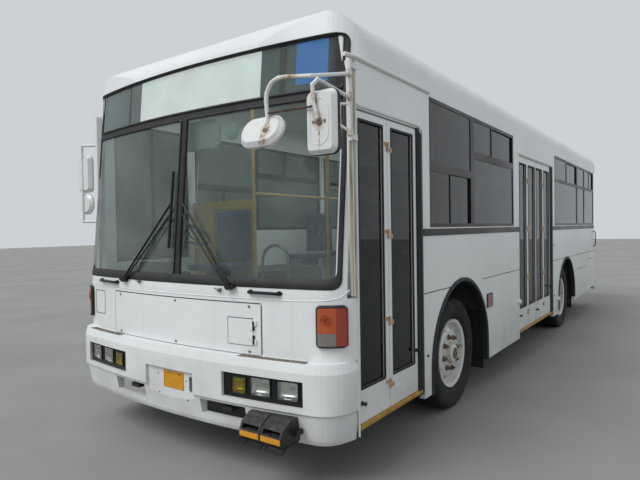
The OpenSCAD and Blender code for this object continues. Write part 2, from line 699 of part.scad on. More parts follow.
module tie_rod() color("dimgray") in_frame() {
    rod([-arm_x + 20, arm_s, 362], [arm_x - 20, arm_s, 362], 14);
    both() difference() {
        standing(arm_x, arm_s, 350, 24, 28);
        standing(arm_x, arm_s, 340, 60, 12 + fit);
    }
}
module rear_axle() color("dimgray") in_frame() {
    s = rear_axle_s;
    axle_turned(s, -700) cylinder(r = 75, h = 1400);
    translate([0, s - 110, axle_z]) rotate([-90, 0, 0]) cylinder(r = 205, h = 200);
    translate([0, s, axle_z]) rotate([-90, 0, 0]) cylinder(r = 90, h = 330);
    both() axle_turned(s, 690) cylinder(r = spindle_r, h = track_x - 670);
}
module air_springs() color("black") in_frame() {
    // Springs: distance from the middle, station, low height, high height, radius
    for (spring = [[430, front_axle_s, 536, 600, 110], [430, rear_axle_s, 558, 600, 120]])
        both() standing(spring[0], spring[1], spring[2], spring[3] - spring[2], spring[4]);
}

// Wheel sections: distance outwards from the tyre's middle plane, and radius
module front_wheel() rotate([0, 0, -90]) rotate_extrude() polygon([
    [spindle_r + fit, -100], [190, -100], [190, -20], [120, -10], [100, 60], [180, 62], [236, 25],
    [252, -40], [268, -104], [rim_r, -114], [rim_r, -98], [282, -88], [262, 0], [282, 88],
    [rim_r, 98], [rim_r, 114], [270, 104], [252, 50], [190, 84], [95, 92], [88, 118],
    [76, 130], [48, 138], [0, 138], [0, 116], [spindle_r + fit, 116]]);
// Holes through the wheel's disc: depth of their middle, how many, radius of their ends,
// distance from the axle, length between the ends' middles where they are slots, first angle
module hand_holes(x, n, r, d, w, start) for (i = [0:n - 1])
    rotate([i * 360 / n + start, 0, 0]) {
        for (y = w > 0 ? [-w / 2, w / 2] : [0]) translate([x, y, d]) rotate([0, 90, 0])
            cylinder(r = r, h = 70, center = true);
        if (w > 0) translate([x - 35, -w / 2, d - r]) cube([70, w, 2 * r]);
    }
module front_wheel_at(side) in_frame() mirror([side < 0 ? 1 : 0, 0, 0])
    translate([track_x, front_axle_s, axle_z]) difference() {
        rotate([0, 90, 0]) front_wheel();
        hand_holes(60, 10, 19, 218, 0, 18);
    }
module front_wheel_left() color("white") front_wheel_at(1);
module front_wheel_right() color("white") front_wheel_at(-1);
module rear_wheel() rotate_extrude() polygon([
    [spindle_r + fit, -430], [200, -430], [200, -170], [262, -160], [268, -104 - 320],
    [rim_r, -114 - 320], [rim_r, -98 - 320], [282, -88 - 320], [262, -320], [282, -232],
    [rim_r, -222], [rim_r, -98], [282, -88], [262, 0], [282, 88], [rim_r, 98], [rim_r, 114],
    [270, 104], [252, 20], [220, -120], [120, -128], [115, 40], [0, 46], [0, 30], [spindle_r + fit, 30]]);
module rear_wheel_at(side) in_frame() mirror([side < 0 ? 1 : 0, 0, 0])
    translate([track_x, rear_axle_s, axle_z]) difference() {
        rotate([0, 90, 0]) rear_wheel();
        hand_holes(-114, 7, 16, 180, 46, 16);
    }
module rear_wheel_left() color("white") rear_wheel_at(1);
module rear_wheel_right() color("white") rear_wheel_at(-1);
module tyre() rotate_extrude() polygon([
    [rim_r, -98], [rim_r + 20, -112], [400, -tyre_w / 2], [450, -tyre_w / 2 + 4],
    [tyre_r - 8, -tyre_w / 2 + 22], [tyre_r, -tyre_w / 2 + 45], [tyre_r, tyre_w / 2 - 45],
    [tyre_r - 8, tyre_w / 2 - 22], [450, tyre_w / 2 - 4], [400, tyre_w / 2],
    [rim_r + 20, 112], [rim_r, 98]]);
module tyre_at(side, s, x) in_frame() mirror([side < 0 ? 1 : 0, 0, 0])
    translate([x, s, axle_z]) rotate([0, 90, 0]) tyre();
module front_tyre_left() color("black") tyre_at(1, front_axle_s, track_x);
module front_tyre_right() color("black") tyre_at(-1, front_axle_s, track_x);
module rear_tyres_left() color("black") for (x = [0, 320]) tyre_at(1, rear_axle_s, track_x - x);
module rear_tyres_right() color("black") for (x = [0, 320]) tyre_at(-1, rear_axle_s, track_x - x);

module engine() color("dimgray") in_frame()
    block([-400, 400], [8150, 9300], [330, 1150]);
module tanks() color("dimgray") in_frame() {
    block([90 - half_w, 650 - half_w], [3100, 4300], [340, 690]);
    for (x = [370 - half_w, 660 - half_w]) {
        translate([x, 4700, 560]) rotate([-90, 0, 0]) cylinder(r = 115, h = 1000);
        block([x - 40, x + 40], [5610, 5670], [650, 690]);
    }
}

module dashboard() color("dimgray") in_frame() {
    block([-1180, 400], [340, 560], [floor_z + 60, 1180]);
    block([-1050, -350], [380, 560], [1180, 1270]);
    member([-1180, 400], [430, 470], [floor_z, floor_z + 60]);
    block([-765, -635], [560, 600], [1150, 1300]);
}
module steering_wheel() color("black") in_frame() {
    difference() {
        translate([-700, 800, 1590]) rotate([-30, 0, 0]) {
            rotate_extrude() translate([225, 0]) circle(r = 14);
            for (a = [90, 210, 330]) rotate([0, 0, a]) translate([0, -11, -6]) cube([220, 22, 9]);
            translate([0, 0, -20]) cylinder(r = 55, h = 30);
            translate([0, 0, -900]) cylinder(r = 26, h = 880 - joint);
        }
        block([-far, far], [0, 600 + joint], [0, 1400]);
    }
}
// Seats: middle x, station of the back's rear face, width, floor under it
seat_x = half_w - 290;
SEATS = [[-700, 1440, 480, floor_z], [-seat_x, 3400, 440, floor_z], [-seat_x, 4200, 440, floor_z],
    [-seat_x, 5000, 440, floor_z], [-seat_x, 5800, 440, floor_z], [seat_x, 3650, 440, floor_z],
    [0, 9330, body_w - 500, deck_z - 400]];
module seats() color("steelblue") in_frame() for (q = SEATS) {
    x = [q[0] - q[2] / 2, q[0] + q[2] / 2];
    member(x, [q[1] - 470, q[1]], [q[3] + 400, q[3] + 470]);
    member(x, [q[1] - 70, q[1]], [q[3] + 470, q[3] + 1000]);
    if (q[3] == floor_z) member([q[0] - 60, q[0] + 60], [q[1] - 360, q[1] - 120], [q[3], q[3] + 400]);
}
module grab_rails() color("gold") in_frame() {
    ceiling = roof_z - shell_t - 7;
    poles = [1420, 3000, 3850, 5620, 7400];     // their stations
    for (s = poles) both() rod([430, s, floor_z], [430, s, ceiling], 16);
    // Rails between the poles, butted on them
    for (i = [0:len(poles) - 2]) both()
        rod([430, poles[i] + 16 + joint, 1950], [430, poles[i + 1] - 16 - joint, 1950], 16);
    block([-wall_in_x + 5, -446], [1444, 1468], [floor_z, 1900]);
}

mirror_x = half_w + 210;            // outermost point of the mirrors
// Rounded outline: width, height, corner radius
module outline(w, h, r) hull() for (x = [r - w / 2, w / 2 - r]) for (y = [r - h / 2, h / 2 - r])
    translate([x, y]) circle(r = r, $fn = 32);
// Housing with its domed back facing forwards
module mirror_head(w, h, r, t) rotate([90, 0, 0]) hull() {
    linear_extrude(16) outline(w, h, r);
    linear_extrude(t) outline(w - 44, h - 44, r - 21);
}
module mirrors_left() color("white") in_frame() {
    pole = [half_w + 9, 318];
    front = -130;                       // station of the mirrors' backs
    rect_x = mirror_x - 98;
    standing(pole.x, pole.y, 2120, 480, 12.5);
    for (z = [2128, 2550]) block([half_w + joint, half_w + 21], [pole.y, 386], [z, z + 34]);
    for (z = [2168, 2375, 2515]) standing(pole.x, pole.y, z - 17, 34, 19);
    tube_run([[pole.x, pole.y, 2515], [half_w + 55, front, 2392], [half_w - 81, front, 2412],
        [half_w - 160, front, 2420], [half_w - 212, front, 2400], [half_w - 246, front, 2352],
        [half_w - 250, front, 2300], [half_w - 240, front, 2160]], 11);
    tube_run([[pole.x, pole.y, 2375], [rect_x - 4, front - 12, 2362], [rect_x - 26, front - 28, 2335],
        [rect_x - 22, front - 28, 2245], [rect_x, front - 22, 2165], [rect_x, front + 10, 2149]], 11);
    rod([half_w - 242, front, 2240], [rect_x - 22, front - 28, 2226], 5);
    tube_run([[pole.x, pole.y, 2335], [half_w - 32, 275, 2335], [half_w - 37, 275, 2214],
        [pole.x, pole.y, 2172]], 8);
    translate([rect_x, front + 34, 2149]) mirror_head(196, 334, 42, 44);
    translate([half_w - 290, front + 20, 2140]) rotate([-25, 0, 0]) mirror_head(304, 196, 96, 40);
}
module mirrors_right() color("white") in_frame() mirror([1, 0, 0]) {
    rect_x = mirror_x - 98;
    tube_run([[half_w + 14, 362, 2380], [rect_x + 10, 300, 2380], [rect_x + 10, 300, 1700],
        [half_w + 14, 362, 1700]], 12);
    translate([rect_x, 344, 2130]) mirror_head(196, 334, 42, 44);
    translate([rect_x - 12, 340, 1860]) mirror_head(190, 190, 94, 36);
}
// Wipers: pivot's x, blade's x
module wipers() color("black") in_frame()
    for (w = [[540, 60], [-610, -70]]) {
        base = nose_at(panel_s, w[0]);
        translate([w[0], base + 6.5, 1240]) rotate([90, 0, 0]) cylinder(r = 26, h = 42);
        side = sign(w[0]);
        rod([w[0], base - 25, 1240], [w[1] + side * 4, base + 16, 1800], 8);
        rod([w[0] - side * 40, base - 25, 1252], [w[1] + side * 4, base + 10, 1725], 6);
        rod([w[0], base - 25, 1240], [w[0] - side * 40, base - 25, 1252], 10);
        rod([w[1] - 8, base - 8, 1480], [w[1], base + 45, 2035], 11);
    }

underframe();
floor();
side_wall_left();
side_wall_right();
roof();
front_panel();
front_cover();
front_flap();
windscreen_frame();
windscreen_glass();
sign_box();
front_bumper();
lamp_panels();
headlamps();
turn_lamps();
number_plate();
chock_holder();
chocks();
rear_panel();
engine_lid();
rear_bumper();
tail_lamps();
window_frames();
cabin_glass();
door_frames();
front_leaf_lead();
front_leaf_post();
front_glass_lead();
front_glass_post();
mid_leaf_1();
mid_leaf_2();
mid_leaf_3();
mid_leaf_4();
mid_glass_1();
mid_glass_2();
mid_glass_3();
mid_glass_4();
front_axle();
rear_axle();
air_springs();
knuckle_left();
knuckle_right();
tie_rod();
front_wheel_left();
front_wheel_right();
rear_wheel_left();
rear_wheel_right();
front_tyre_left();
front_tyre_right();
rear_tyres_left();
rear_tyres_right();
engine();
tanks();
dashboard();
steering_wheel();
seats();
grab_rails();
mirrors_left();
mirrors_right();
wipers();
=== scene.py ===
# Airport passenger bus: finishes, fittings, seats, camera and light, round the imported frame.
# X is the bus's left (door) side, -Y its front, Z up, in metres. A station is a distance
# towards the rear, counted from just ahead of the front bumper.
import bpy
import bmesh
import json
import math
import numpy as np
from mathutils import Matrix, Vector


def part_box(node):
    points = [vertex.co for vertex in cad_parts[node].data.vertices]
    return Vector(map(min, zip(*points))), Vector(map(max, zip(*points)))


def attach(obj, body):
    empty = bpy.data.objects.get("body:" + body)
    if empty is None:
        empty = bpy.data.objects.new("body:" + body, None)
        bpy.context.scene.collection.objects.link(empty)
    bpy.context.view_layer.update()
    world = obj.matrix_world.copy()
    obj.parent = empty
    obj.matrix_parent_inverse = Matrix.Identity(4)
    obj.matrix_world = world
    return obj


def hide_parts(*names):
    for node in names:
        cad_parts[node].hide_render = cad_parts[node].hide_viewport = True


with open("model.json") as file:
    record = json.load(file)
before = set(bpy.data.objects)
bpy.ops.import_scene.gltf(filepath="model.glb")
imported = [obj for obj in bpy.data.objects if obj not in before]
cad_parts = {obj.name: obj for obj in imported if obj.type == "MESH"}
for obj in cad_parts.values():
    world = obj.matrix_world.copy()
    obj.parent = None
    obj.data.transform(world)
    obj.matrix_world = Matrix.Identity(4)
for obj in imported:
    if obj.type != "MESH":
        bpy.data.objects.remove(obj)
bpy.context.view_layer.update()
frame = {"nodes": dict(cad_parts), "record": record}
nodes = frame["nodes"]
origin = 4.643
print("frame loaded:", len(nodes), "nodes")


def linear(hexText):
    # sRGB hex to the linear RGBA that a socket takes
    parts = [int(hexText[i:i + 2], 16) / 255 for i in (1, 3, 5)]
    return [c / 12.92 if c <= 0.04045 else ((c + 0.055) / 1.055) ** 2.4 for c in parts] + [1]


def at(x, station, z):
    return (x, station - origin, z)


def addNode(tree, kind, settings=None, links=None):
    # one shader node, with its properties or sockets set and its inputs joined
    node = tree.nodes.new(kind)
    for key, value in (settings or {}).items():
        if isinstance(key, int) or key in node.inputs.keys():
            node.inputs[key].default_value = value
        else:
            setattr(node, key, value)
    for key, source in (links or {}).items():
        tree.links.new(source, node.inputs[key])
    return node


def layered(name, base, layers=(), surface=None, relief=None, gloss=None):
    # A base colour with patches laid over it in turn. size is the width of a patch in metres,
    # start and full the noise levels where it begins and is whole, most its greatest strength.
    # height fades it between two heights, near keeps it round points (with three reaches), and
    # ring keeps it to a circle round a wheel's axis.
    material = bpy.data.materials.new(name)
    material.use_nodes = True
    tree = material.node_tree
    shader = tree.nodes["Principled BSDF"]
    for key, value in (surface or {}).items():
        shader.inputs[key].default_value = value
    place = addNode(tree, "ShaderNodeTexCoord").outputs["Object"]
    apart = addNode(tree, "ShaderNodeSeparateXYZ", {}, {0: place})
    colour = None
    for layer in layers:
        spread = addNode(tree, "ShaderNodeMapping", {"Scale": layer.get("stretch", (1, 1, 1))}, {0: place})
        patch = addNode(tree, "ShaderNodeTexNoise", {"Scale": 1 / layer["size"], "Detail": layer.get("detail", 4)},
                        {0: spread.outputs[0]})
        weight = addNode(tree, "ShaderNodeMapRange", {1: layer["start"], 2: layer["full"], 4: layer.get("most", 1)},
                         {0: patch.outputs[0]}).outputs[0]
        if "height" in layer:
            whole, none = layer["height"]
            band = addNode(tree, "ShaderNodeMapRange", {1: none, 2: whole}, {0: apart.outputs[2]})
            weight = addNode(tree, "ShaderNodeMath", {"operation": "MULTIPLY"},
                             {0: weight, 1: band.outputs[0]}).outputs[0]
        if "near" in layer:
            closest = None
            for point, reach in layer["near"]:
                away = addNode(tree, "ShaderNodeVectorMath", {"operation": "SUBTRACT", 1: point}, {0: place})
                scaled = addNode(tree, "ShaderNodeVectorMath", {"operation": "DIVIDE", 1: reach},
                                 {0: away.outputs[0]})
                length = addNode(tree, "ShaderNodeVectorMath", {"operation": "LENGTH"}, {0: scaled.outputs[0]})
                spot = addNode(tree, "ShaderNodeMapRange", {1: 1.0, 2: 0.35}, {0: length.outputs["Value"]}).outputs[0]
                closest = spot if closest is None else addNode(
                    tree, "ShaderNodeMath", {"operation": "MAXIMUM"}, {0: closest, 1: spot}).outputs[0]
            weight = addNode(tree, "ShaderNodeMath", {"operation": "MULTIPLY"}, {0: weight, 1: closest}).outputs[0]
        if "ring" in layer:
            station, radius, width = layer["ring"]
            flat = addNode(tree, "ShaderNodeVectorMath", {"operation": "MULTIPLY", 1: (0, 1, 1)}, {0: place})
            away = addNode(tree, "ShaderNodeVectorMath",
                           {"operation": "DISTANCE", 1: (0, station - origin, wheels["height"])}, {0: flat.outputs[0]})
            offset = addNode(tree, "ShaderNodeMath", {"operation": "SUBTRACT", 1: radius}, {0: away.outputs["Value"]})
            size = addNode(tree, "ShaderNodeMath", {"operation": "ABSOLUTE"}, {0: offset.outputs[0]})
            band = addNode(tree, "ShaderNodeMapRange", {1: width, 2: width * 0.3}, {0: size.outputs[0]})
            weight = addNode(tree, "ShaderNodeMath", {"operation": "MULTIPLY"},
                             {0: weight, 1: band.outputs[0]}).outputs[0]
        mixed = addNode(tree, "ShaderNodeMix", {"data_type": "RGBA", 6: linear(base), 7: linear(layer["colour"])},
                        {0: weight} if colour is None else {0: weight, 6: colour})
        colour = mixed.outputs[2]
    if colour is not None:
        tree.links.new(colour, shader.inputs["Base Color"])
    if relief:
        spread = addNode(tree, "ShaderNodeMapping", {"Scale": relief.get("stretch", (1, 1, 1))}, {0: place})
        grain = addNode(tree, "ShaderNodeTexNoise", {"Scale": 1 / relief["size"], "Detail": 4}, {0: spread.outputs[0]})
        bump = addNode(tree, "ShaderNodeBump", {"Strength": relief.get("strength", 0.8), "Distance": relief["depth"]},
                       {"Height": grain.outputs[0]})
        tree.links.new(bump.outputs[0], shader.inputs["Normal"])
    if gloss:
        size, low, high = gloss
        smear = addNode(tree, "ShaderNodeTexNoise", {"Scale": 1 / size, "Detail": 5}, {0: place})
        spread = addNode(tree, "ShaderNodeMapRange", {1: 0.3, 2: 0.7, 3: low, 4: high}, {0: smear.outputs[0]})
        tree.links.new(spread.outputs[0], shader.inputs["Roughness"])
    return material, tree, shader, place, apart, colour


wheels = {"front": 2.144, "rear": 6.644, "height": 0.483, "track": 1.137, "inner": 0.817,
          "bolts": 8, "boltCircle": 0.1425, "frontFace": 0.0885, "rearFace": -0.127}
# Where rust sits on the mirror arms and housings, each with its reach in three directions
mirrorRust = [(at(1.461, -0.14, 2.149), (0.050, 0.06, 0.055)), (at(1.461, -0.14, 2.080), (0.007, 0.06, 0.100)),
              (at(1.110, -0.15, 2.150), (0.045, 0.07, 0.050)), (at(1.105, -0.13, 2.085), (0.038, 0.14, 0.075)),
              (at(1.270, -0.13, 2.413), (0.070, 0.05, 0.040)), (at(1.434, -0.15, 2.240), (0.022, 0.05, 0.110)),
              (at(1.359, 0.318, 2.375), (0.030, 0.04, 0.040)), (at(1.359, 0.318, 2.515), (0.030, 0.04, 0.040)),
              (at(1.359, 0.318, 2.168), (0.025, 0.04, 0.035))]


def coachEnamel(name, base, rust=(), ring=None, dirtTop=0.95, dirt=0.45, surface=None):
    # sprayed enamel: slow colour drift, faint rain streaks, road film that rises from the sills,
    # and brown rust only at the fittings that are named
    layers = [{"size": 0.9, "start": 0.35, "full": 0.65, "colour": "#d3d7d8", "most": 0.6},
              {"size": 0.045, "start": 0.56, "full": 0.85, "colour": "#8f897c", "most": 0.13,
               "stretch": (1, 1, 0.05)},
              {"size": 0.28, "start": 0.25, "full": 0.75, "colour": "#8b8374", "most": dirt,
               "height": (0.30, dirtTop), "detail": 7}]
    if rust:
        layers.append({"size": 0.03, "start": 0.36, "full": 0.56, "colour": "#b07a45", "most": 0.75, "near": rust,
                       "detail": 6})
        layers.append({"size": 0.016, "start": 0.50, "full": 0.62, "colour": "#5d3218", "most": 0.9, "near": rust,
                       "detail": 8})
    for radius, width, most in ring or ():
        layers.append({"size": 0.02, "start": 0.40, "full": 0.62, "colour": "#6e4327", "most": most,
                       "ring": (radius[0], radius[1], width), "detail": 7})
    return layered(name, base, layers, surface or {"Roughness": 0.34, "Coat Weight": 0.25, "Coat Roughness": 0.18},
                   {"size": 0.5, "depth": 0.006, "strength": 0.2}, (0.4, 0.30, 0.42))[0]


def mottled(name, base, shade, patch, roughness, grain, depth, metallic=0.0, extra=None):
    # a drift between two tones of the material at the patch size, and its grain in the relief
    surface = {"Roughness": roughness, "Metallic": metallic, **(extra or {})}
    layers = [{"size": patch, "start": 0.36, "full": 0.64, "colour": shade, "detail": 5}]
    return layered(name, base, layers, surface, {"size": grain, "depth": depth},
                   (patch * 2, max(0.02, roughness - 0.07), min(1, roughness + 0.08)))[0]


def sheetGlass(name, tint, dust, veil):
    # tempered glass: tinted through, with a film of dust that is thicker in patches
    layers = [{"size": 0.35, "start": 0.35, "full": 0.8, "colour": dust, "most": 0.5, "detail": 6}]
    material, tree, shader, place, apart, colour = layered(
        name, tint, layers, {"Roughness": 0.015, "IOR": 1.40, "Transmission Weight": 1.0})
    film = addNode(tree, "ShaderNodeTexNoise", {"Scale": 3.0, "Detail": 6}, {0: place})
    clear = addNode(tree, "ShaderNodeMapRange", {1: 0.3, 2: 0.75, 3: 1 - veil[0], 4: 1 - veil[1]},
                    {0: film.outputs[0]})
    tree.links.new(clear.outputs[0], shader.inputs["Transmission Weight"])
    return material


signPanels = [[0.05, 0.6305, 2.63, 0.155, "#f4e9ec"], [1.07, 0.1185, 2.65, 0.135, "#1764b4"]]


def signFacesPaintedGlow():
    # dark liner behind the glass over the windscreen, with a plain white sheet and a plain blue
    # sheet on its raised panels, glowing faintly: partly the box's own lamps, partly a painted glow
    # in place of the daylight that the glass's shadows keep off them
    material, tree, shader, place, apart, colour = layered(
        "signSheetsPaintedGlow", "#2b3032", [{"size": 0.4, "start": 0.35, "full": 0.65, "colour": "#353b3d"}],
        {"Roughness": 0.45}, {"size": 0.02, "depth": 0.0003})
    for x, halfWidth, z, halfHeight, sheet in signPanels:
        across = addNode(tree, "ShaderNodeMath", {"operation": "COMPARE", 1: x, 2: halfWidth}, {0: apart.outputs[0]})
        upward = addNode(tree, "ShaderNodeMath", {"operation": "COMPARE", 1: z, 2: halfHeight}, {0: apart.outputs[2]})
        both = addNode(tree, "ShaderNodeMath", {"operation": "MULTIPLY"}, {0: across.outputs[0], 1: upward.outputs[0]})
        mixed = addNode(tree, "ShaderNodeMix", {"data_type": "RGBA", 7: linear(sheet)}, {0: both.outputs[0], 6: colour})
        colour = mixed.outputs[2]
    tree.links.new(colour, shader.inputs["Base Color"])
    tree.links.new(colour, shader.inputs["Emission Color"])
    # painted glow: the emission stands in for daylight that the glass's shadows keep off the liner and sheets
    shader.inputs["Emission Strength"].default_value = 0.7
    return material


def lensAcrylic():
    # ribbed lamp acrylic: amber above grey on the front face, red-orange round the corner, and
    # dull red on the side markers
    material, tree, shader, place, apart, colour = layered(
        "ribbedLampAcrylic", "#b9551d", [{"size": 0.05, "start": 0.35, "full": 0.7, "colour": "#a54717"}],
        {"Roughness": 0.12, "Coat Weight": 0.5, "Coat Roughness": 0.03})
    reach = addNode(tree, "ShaderNodeMath", {"operation": "ABSOLUTE"}, {0: apart.outputs[0]})
    # each part: source, threshold, whether it lies above it, colour
    for source, level, above, tone in ((apart.outputs[2], 0.980, False, "#77746e"),
                                       (reach.outputs[0], 1.291, True, "#93321a"),
                                       (apart.outputs[1], 2.0 - origin, True, "#6a2119")):
        side = addNode(tree, "ShaderNodeMath", {"operation": "GREATER_THAN" if above else "LESS_THAN", 1: level},
                       {0: source})
        mixed = addNode(tree, "ShaderNodeMix", {"data_type": "RGBA", 7: linear(tone)}, {0: side.outputs[0], 6: colour})
        colour = mixed.outputs[2]
    tree.links.new(colour, shader.inputs["Base Color"])
    ribs = addNode(tree, "ShaderNodeTexWave", {"bands_direction": "Z", "Scale": 0.314 / 0.007}, {0: place})
    bump = addNode(tree, "ShaderNodeBump", {"Strength": 0.6, "Distance": 0.0015}, {"Height": ribs.outputs["Fac"]})
    tree.links.new(bump.outputs[0], shader.inputs["Normal"])
    return material


def flutedLens(name, tint, period):
    # pressed lamp glass with upright flutes on its face
    material, tree, shader, place, apart, colour = layered(
        name, tint, [{"size": 0.06, "start": 0.4, "full": 0.8, "colour": "#a9a48f", "most": 0.3}],
        {"Roughness": 0.05, "IOR": 1.5, "Transmission Weight": 0.93})
    flutes = addNode(tree, "ShaderNodeTexWave", {"bands_direction": "X", "Scale": 0.314 / period}, {0: place})
    bump = addNode(tree, "ShaderNodeBump", {"Strength": 0.35, "Distance": 0.001}, {"Height": flutes.outputs["Fac"]})
    tree.links.new(bump.outputs[0], shader.inputs["Normal"])
    return material


def wheelPaint(name, station, hub):
    # wheel enamel, chalky with road dust, with rust round the nuts, the hub's edge and the rim
    rings = [((station, wheels["boltCircle"]), 0.040, 0.40), ((station, hub), 0.016, 0.6),
             ((station, 0.262), 0.016, 0.25), ((station, 0.297), 0.010, 0.25)]
    return coachEnamel(name, "#d6d7d4", ring=rings, dirtTop=0.9, dirt=0.22, surface={"Roughness": 0.5})


def tyreRubber():
    # weathered tread rubber, greyed by dust in patches and low down
    return layered("tyreRubber", "#0f1011",
                   [{"size": 0.08, "start": 0.3, "full": 0.75, "colour": "#282623", "most": 0.6, "detail": 7},
                    {"size": 0.05, "start": 0.3, "full": 0.6, "colour": "#47413a", "most": 0.35, "height": (0.0, 0.30)}],
                   {"Roughness": 0.85}, {"size": 0.003, "depth": 0.0006}, (0.1, 0.7, 0.92))[0]


finishes = {
    # soft white of airport vehicles, satin rather than shiny
    "body_white": coachEnamel("whiteCoachEnamel", "#e4e7e8"),
    # brushed-on chassis black, dusty
    "frame_black": mottled("chassisBlackPaint", "#1b1b1c", "#33302b", 0.12, 0.62, 0.004, 0.0006),
    # sand-cast iron under thin paint
    "steel": mottled("castIronPainted", "#242322", "#45362b", 0.05, 0.66, 0.003, 0.0012, 0.2),
    # fine-ribbed mat with foot dust
    "floor_grey": mottled("ribbedFloorRubber", "#4c4f52", "#3b3d3f", 0.18, 0.75, 0.006, 0.0010),
    # grey-black of weathered seals
    "black_trim": mottled("epdmRubber", "#17181a", "#26272a", 0.07, 0.58, 0.002, 0.0004),
    # satin black window sections
    "black_metal": mottled("blackAnodisedAluminium", "#131415", "#1e1f20", 0.25, 0.36, 0.0015, 0.0001, 0.3),
    # grey-green privacy tint
    "window_glass": sheetGlass("tintedSideGlass", "#39403f", "#6d716c", (0.02, 0.08)),
    # pale green laminate
    "screen_glass": sheetGlass("laminatedScreenGlass", "#cfe2dc", "#c9cfc6", (0.02, 0.09)),
    "sign_face": signFacesPaintedGlow(),
    "lamp_glass": flutedLens("pressedLampGlass", "#eef0ea", 0.009),
    "fog_glass": flutedLens("yellowFogGlass", "#d9c414", 0.007),
    "amber": lensAcrylic(),
    # deep red with a fine grain from the relief
    "red_lens": mottled("redAcrylicLens", "#9c1212", "#7c0d0d", 0.03, 0.15, 0.006, 0.0010, 0, {"Coat Weight": 0.5}),
    # yellow baked enamel with a dusty bloom
    "yellow_plate": mottled("yellowPlateEnamel", "#d39317", "#bf8311", 0.03, 0.42, 0.004, 0.0003),
    # black paint worn to grey in patches
    "chock": mottled("blackChockPaint", "#1a1a1b", "#3b3835", 0.03, 0.55, 0.003, 0.0006),
    "chock_yellow": layered("yellowReflectivePaint", "#dc971c",
                            [{"size": 0.012, "start": 0.60, "full": 0.70, "colour": "#6b4a1c", "detail": 7},
                             {"size": 0.05, "start": 0.3, "full": 0.8, "colour": "#b97a16", "most": 0.6}],
                            {"Roughness": 0.5}, {"size": 0.003, "depth": 0.0004})[0],
    "tyre": tyreRubber(),
    "wheel_white": wheelPaint("frontWheelPaint", wheels["front"], 0.088),
    "rear_wheel": wheelPaint("rearWheelPaint", wheels["rear"], 0.118),
    # woven blue moquette
    "seat_cloth": mottled("moquetteCloth", "#2b4470", "#1d3054", 0.006, 0.92, 0.0018, 0.0008, 0,
                          {"Sheen Weight": 0.3}),
    # ochre powder coat on the poles
    "rail": mottled("yellowPowderCoat", "#c9a33a", "#b8912e", 0.1, 0.38, 0.002, 0.0002),
    "mirror_white": coachEnamel("mirrorPaint", "#d9dad6", rust=mirrorRust, dirtTop=0.5),
    # zinc screws gone dull
    "galvanised": mottled("galvanisedSteel", "#8f9190", "#6d6a62", 0.01, 0.45, 0.002, 0.0002, 0.85),
    # sand in paint, dirty in patches
    "grit": mottled("grittedTread", "#8a8278", "#544d46", 0.010, 0.95, 0.003, 0.0020),
    # brass-coloured plating with rust bleeding through
    "brass": layered("rustyBrassPlating", "#c9ad8c",
                     [{"size": 0.014, "start": 0.52, "full": 0.68, "colour": "#96602f", "detail": 7},
                      {"size": 0.005, "start": 0.60, "full": 0.68, "colour": "#43260f", "detail": 7}],
                     {"Roughness": 0.55, "Metallic": 0.3}, {"size": 0.004, "depth": 0.0005})[0],
    # nuts and studs with brown rust
    "rusty_steel": layered("rustySteel", "#8b8478",
                           [{"size": 0.012, "start": 0.42, "full": 0.6, "colour": "#5c3a22", "detail": 7}],
                           {"Roughness": 0.6, "Metallic": 0.6}, {"size": 0.003, "depth": 0.0005})[0],
    # thin rod nearly rusted through its paint
    "rusty_dark": layered("rustedRod", "#2b2321",
                          [{"size": 0.02, "start": 0.45, "full": 0.65, "colour": "#6e3620", "detail": 7}],
                          {"Roughness": 0.75}, {"size": 0.003, "depth": 0.0006})[0],
    # old cream sealant along the front pillar
    "sealant": layered("agedCreamSealant", "#b9b19c",
                       [{"size": 0.03, "start": 0.4, "full": 0.75, "colour": "#7c705a", "stretch": (1, 1, 0.12),
                         "detail": 6}],
                       {"Roughness": 0.7}, {"size": 0.01, "depth": 0.0006})[0],
    # yellow anti-slip edge worn to the metal
    "sill_yellow": layered("yellowSillPaint", "#b08938",
                           [{"size": 0.05, "start": 0.45, "full": 0.75, "colour": "#8a6a2a", "detail": 7},
                            {"size": 0.02, "start": 0.62, "full": 0.72, "colour": "#57483a", "detail": 7}],
                           {"Roughness": 0.6}, {"size": 0.004, "depth": 0.0006})[0],
    # vacuum-coated reflector, faintly rippled
    "chrome": mottled("silveredReflector", "#dfe2e3", "#b9bdbf", 0.02, 0.12, 0.008, 0.0008, 1.0),
    # silvered glass with a slightly wavy surface
    "mirror_glass": mottled("silveredMirror", "#d5dadb", "#c8cecf", 0.2, 0.08, 0.05, 0.0002, 1.0),
    # moulded grain of instrument panels
    "plastic_dark": mottled("grainedAbs", "#2a2c2e", "#202224", 0.2, 0.62, 0.0015, 0.0003),
    # pale moulded lining of the cab
    "plastic_pale": mottled("paleAbs", "#b9beb8", "#a9aea8", 0.2, 0.5, 0.0015, 0.0002),
}
for entry in frame["record"]["subparts"]:
    shown = nodes[entry["node"]]
    slot = "rear_wheel" if entry["node"].startswith("rear_wheel") else entry["material_slot"]
    shown.data.materials.clear()
    shown.data.materials.append(finishes[slot])
print("finishes on all nodes")

# The front in plan: one large arc with a round corner at each end
plan = {"noseRadius": 6.812, "cornerRadius": 0.220, "halfWidth": 1.350, "panel": 0.105, "bumper": 0.030,
        "leanFrom": 1.180, "leanDegrees": 5.3, "rear": 9.440}


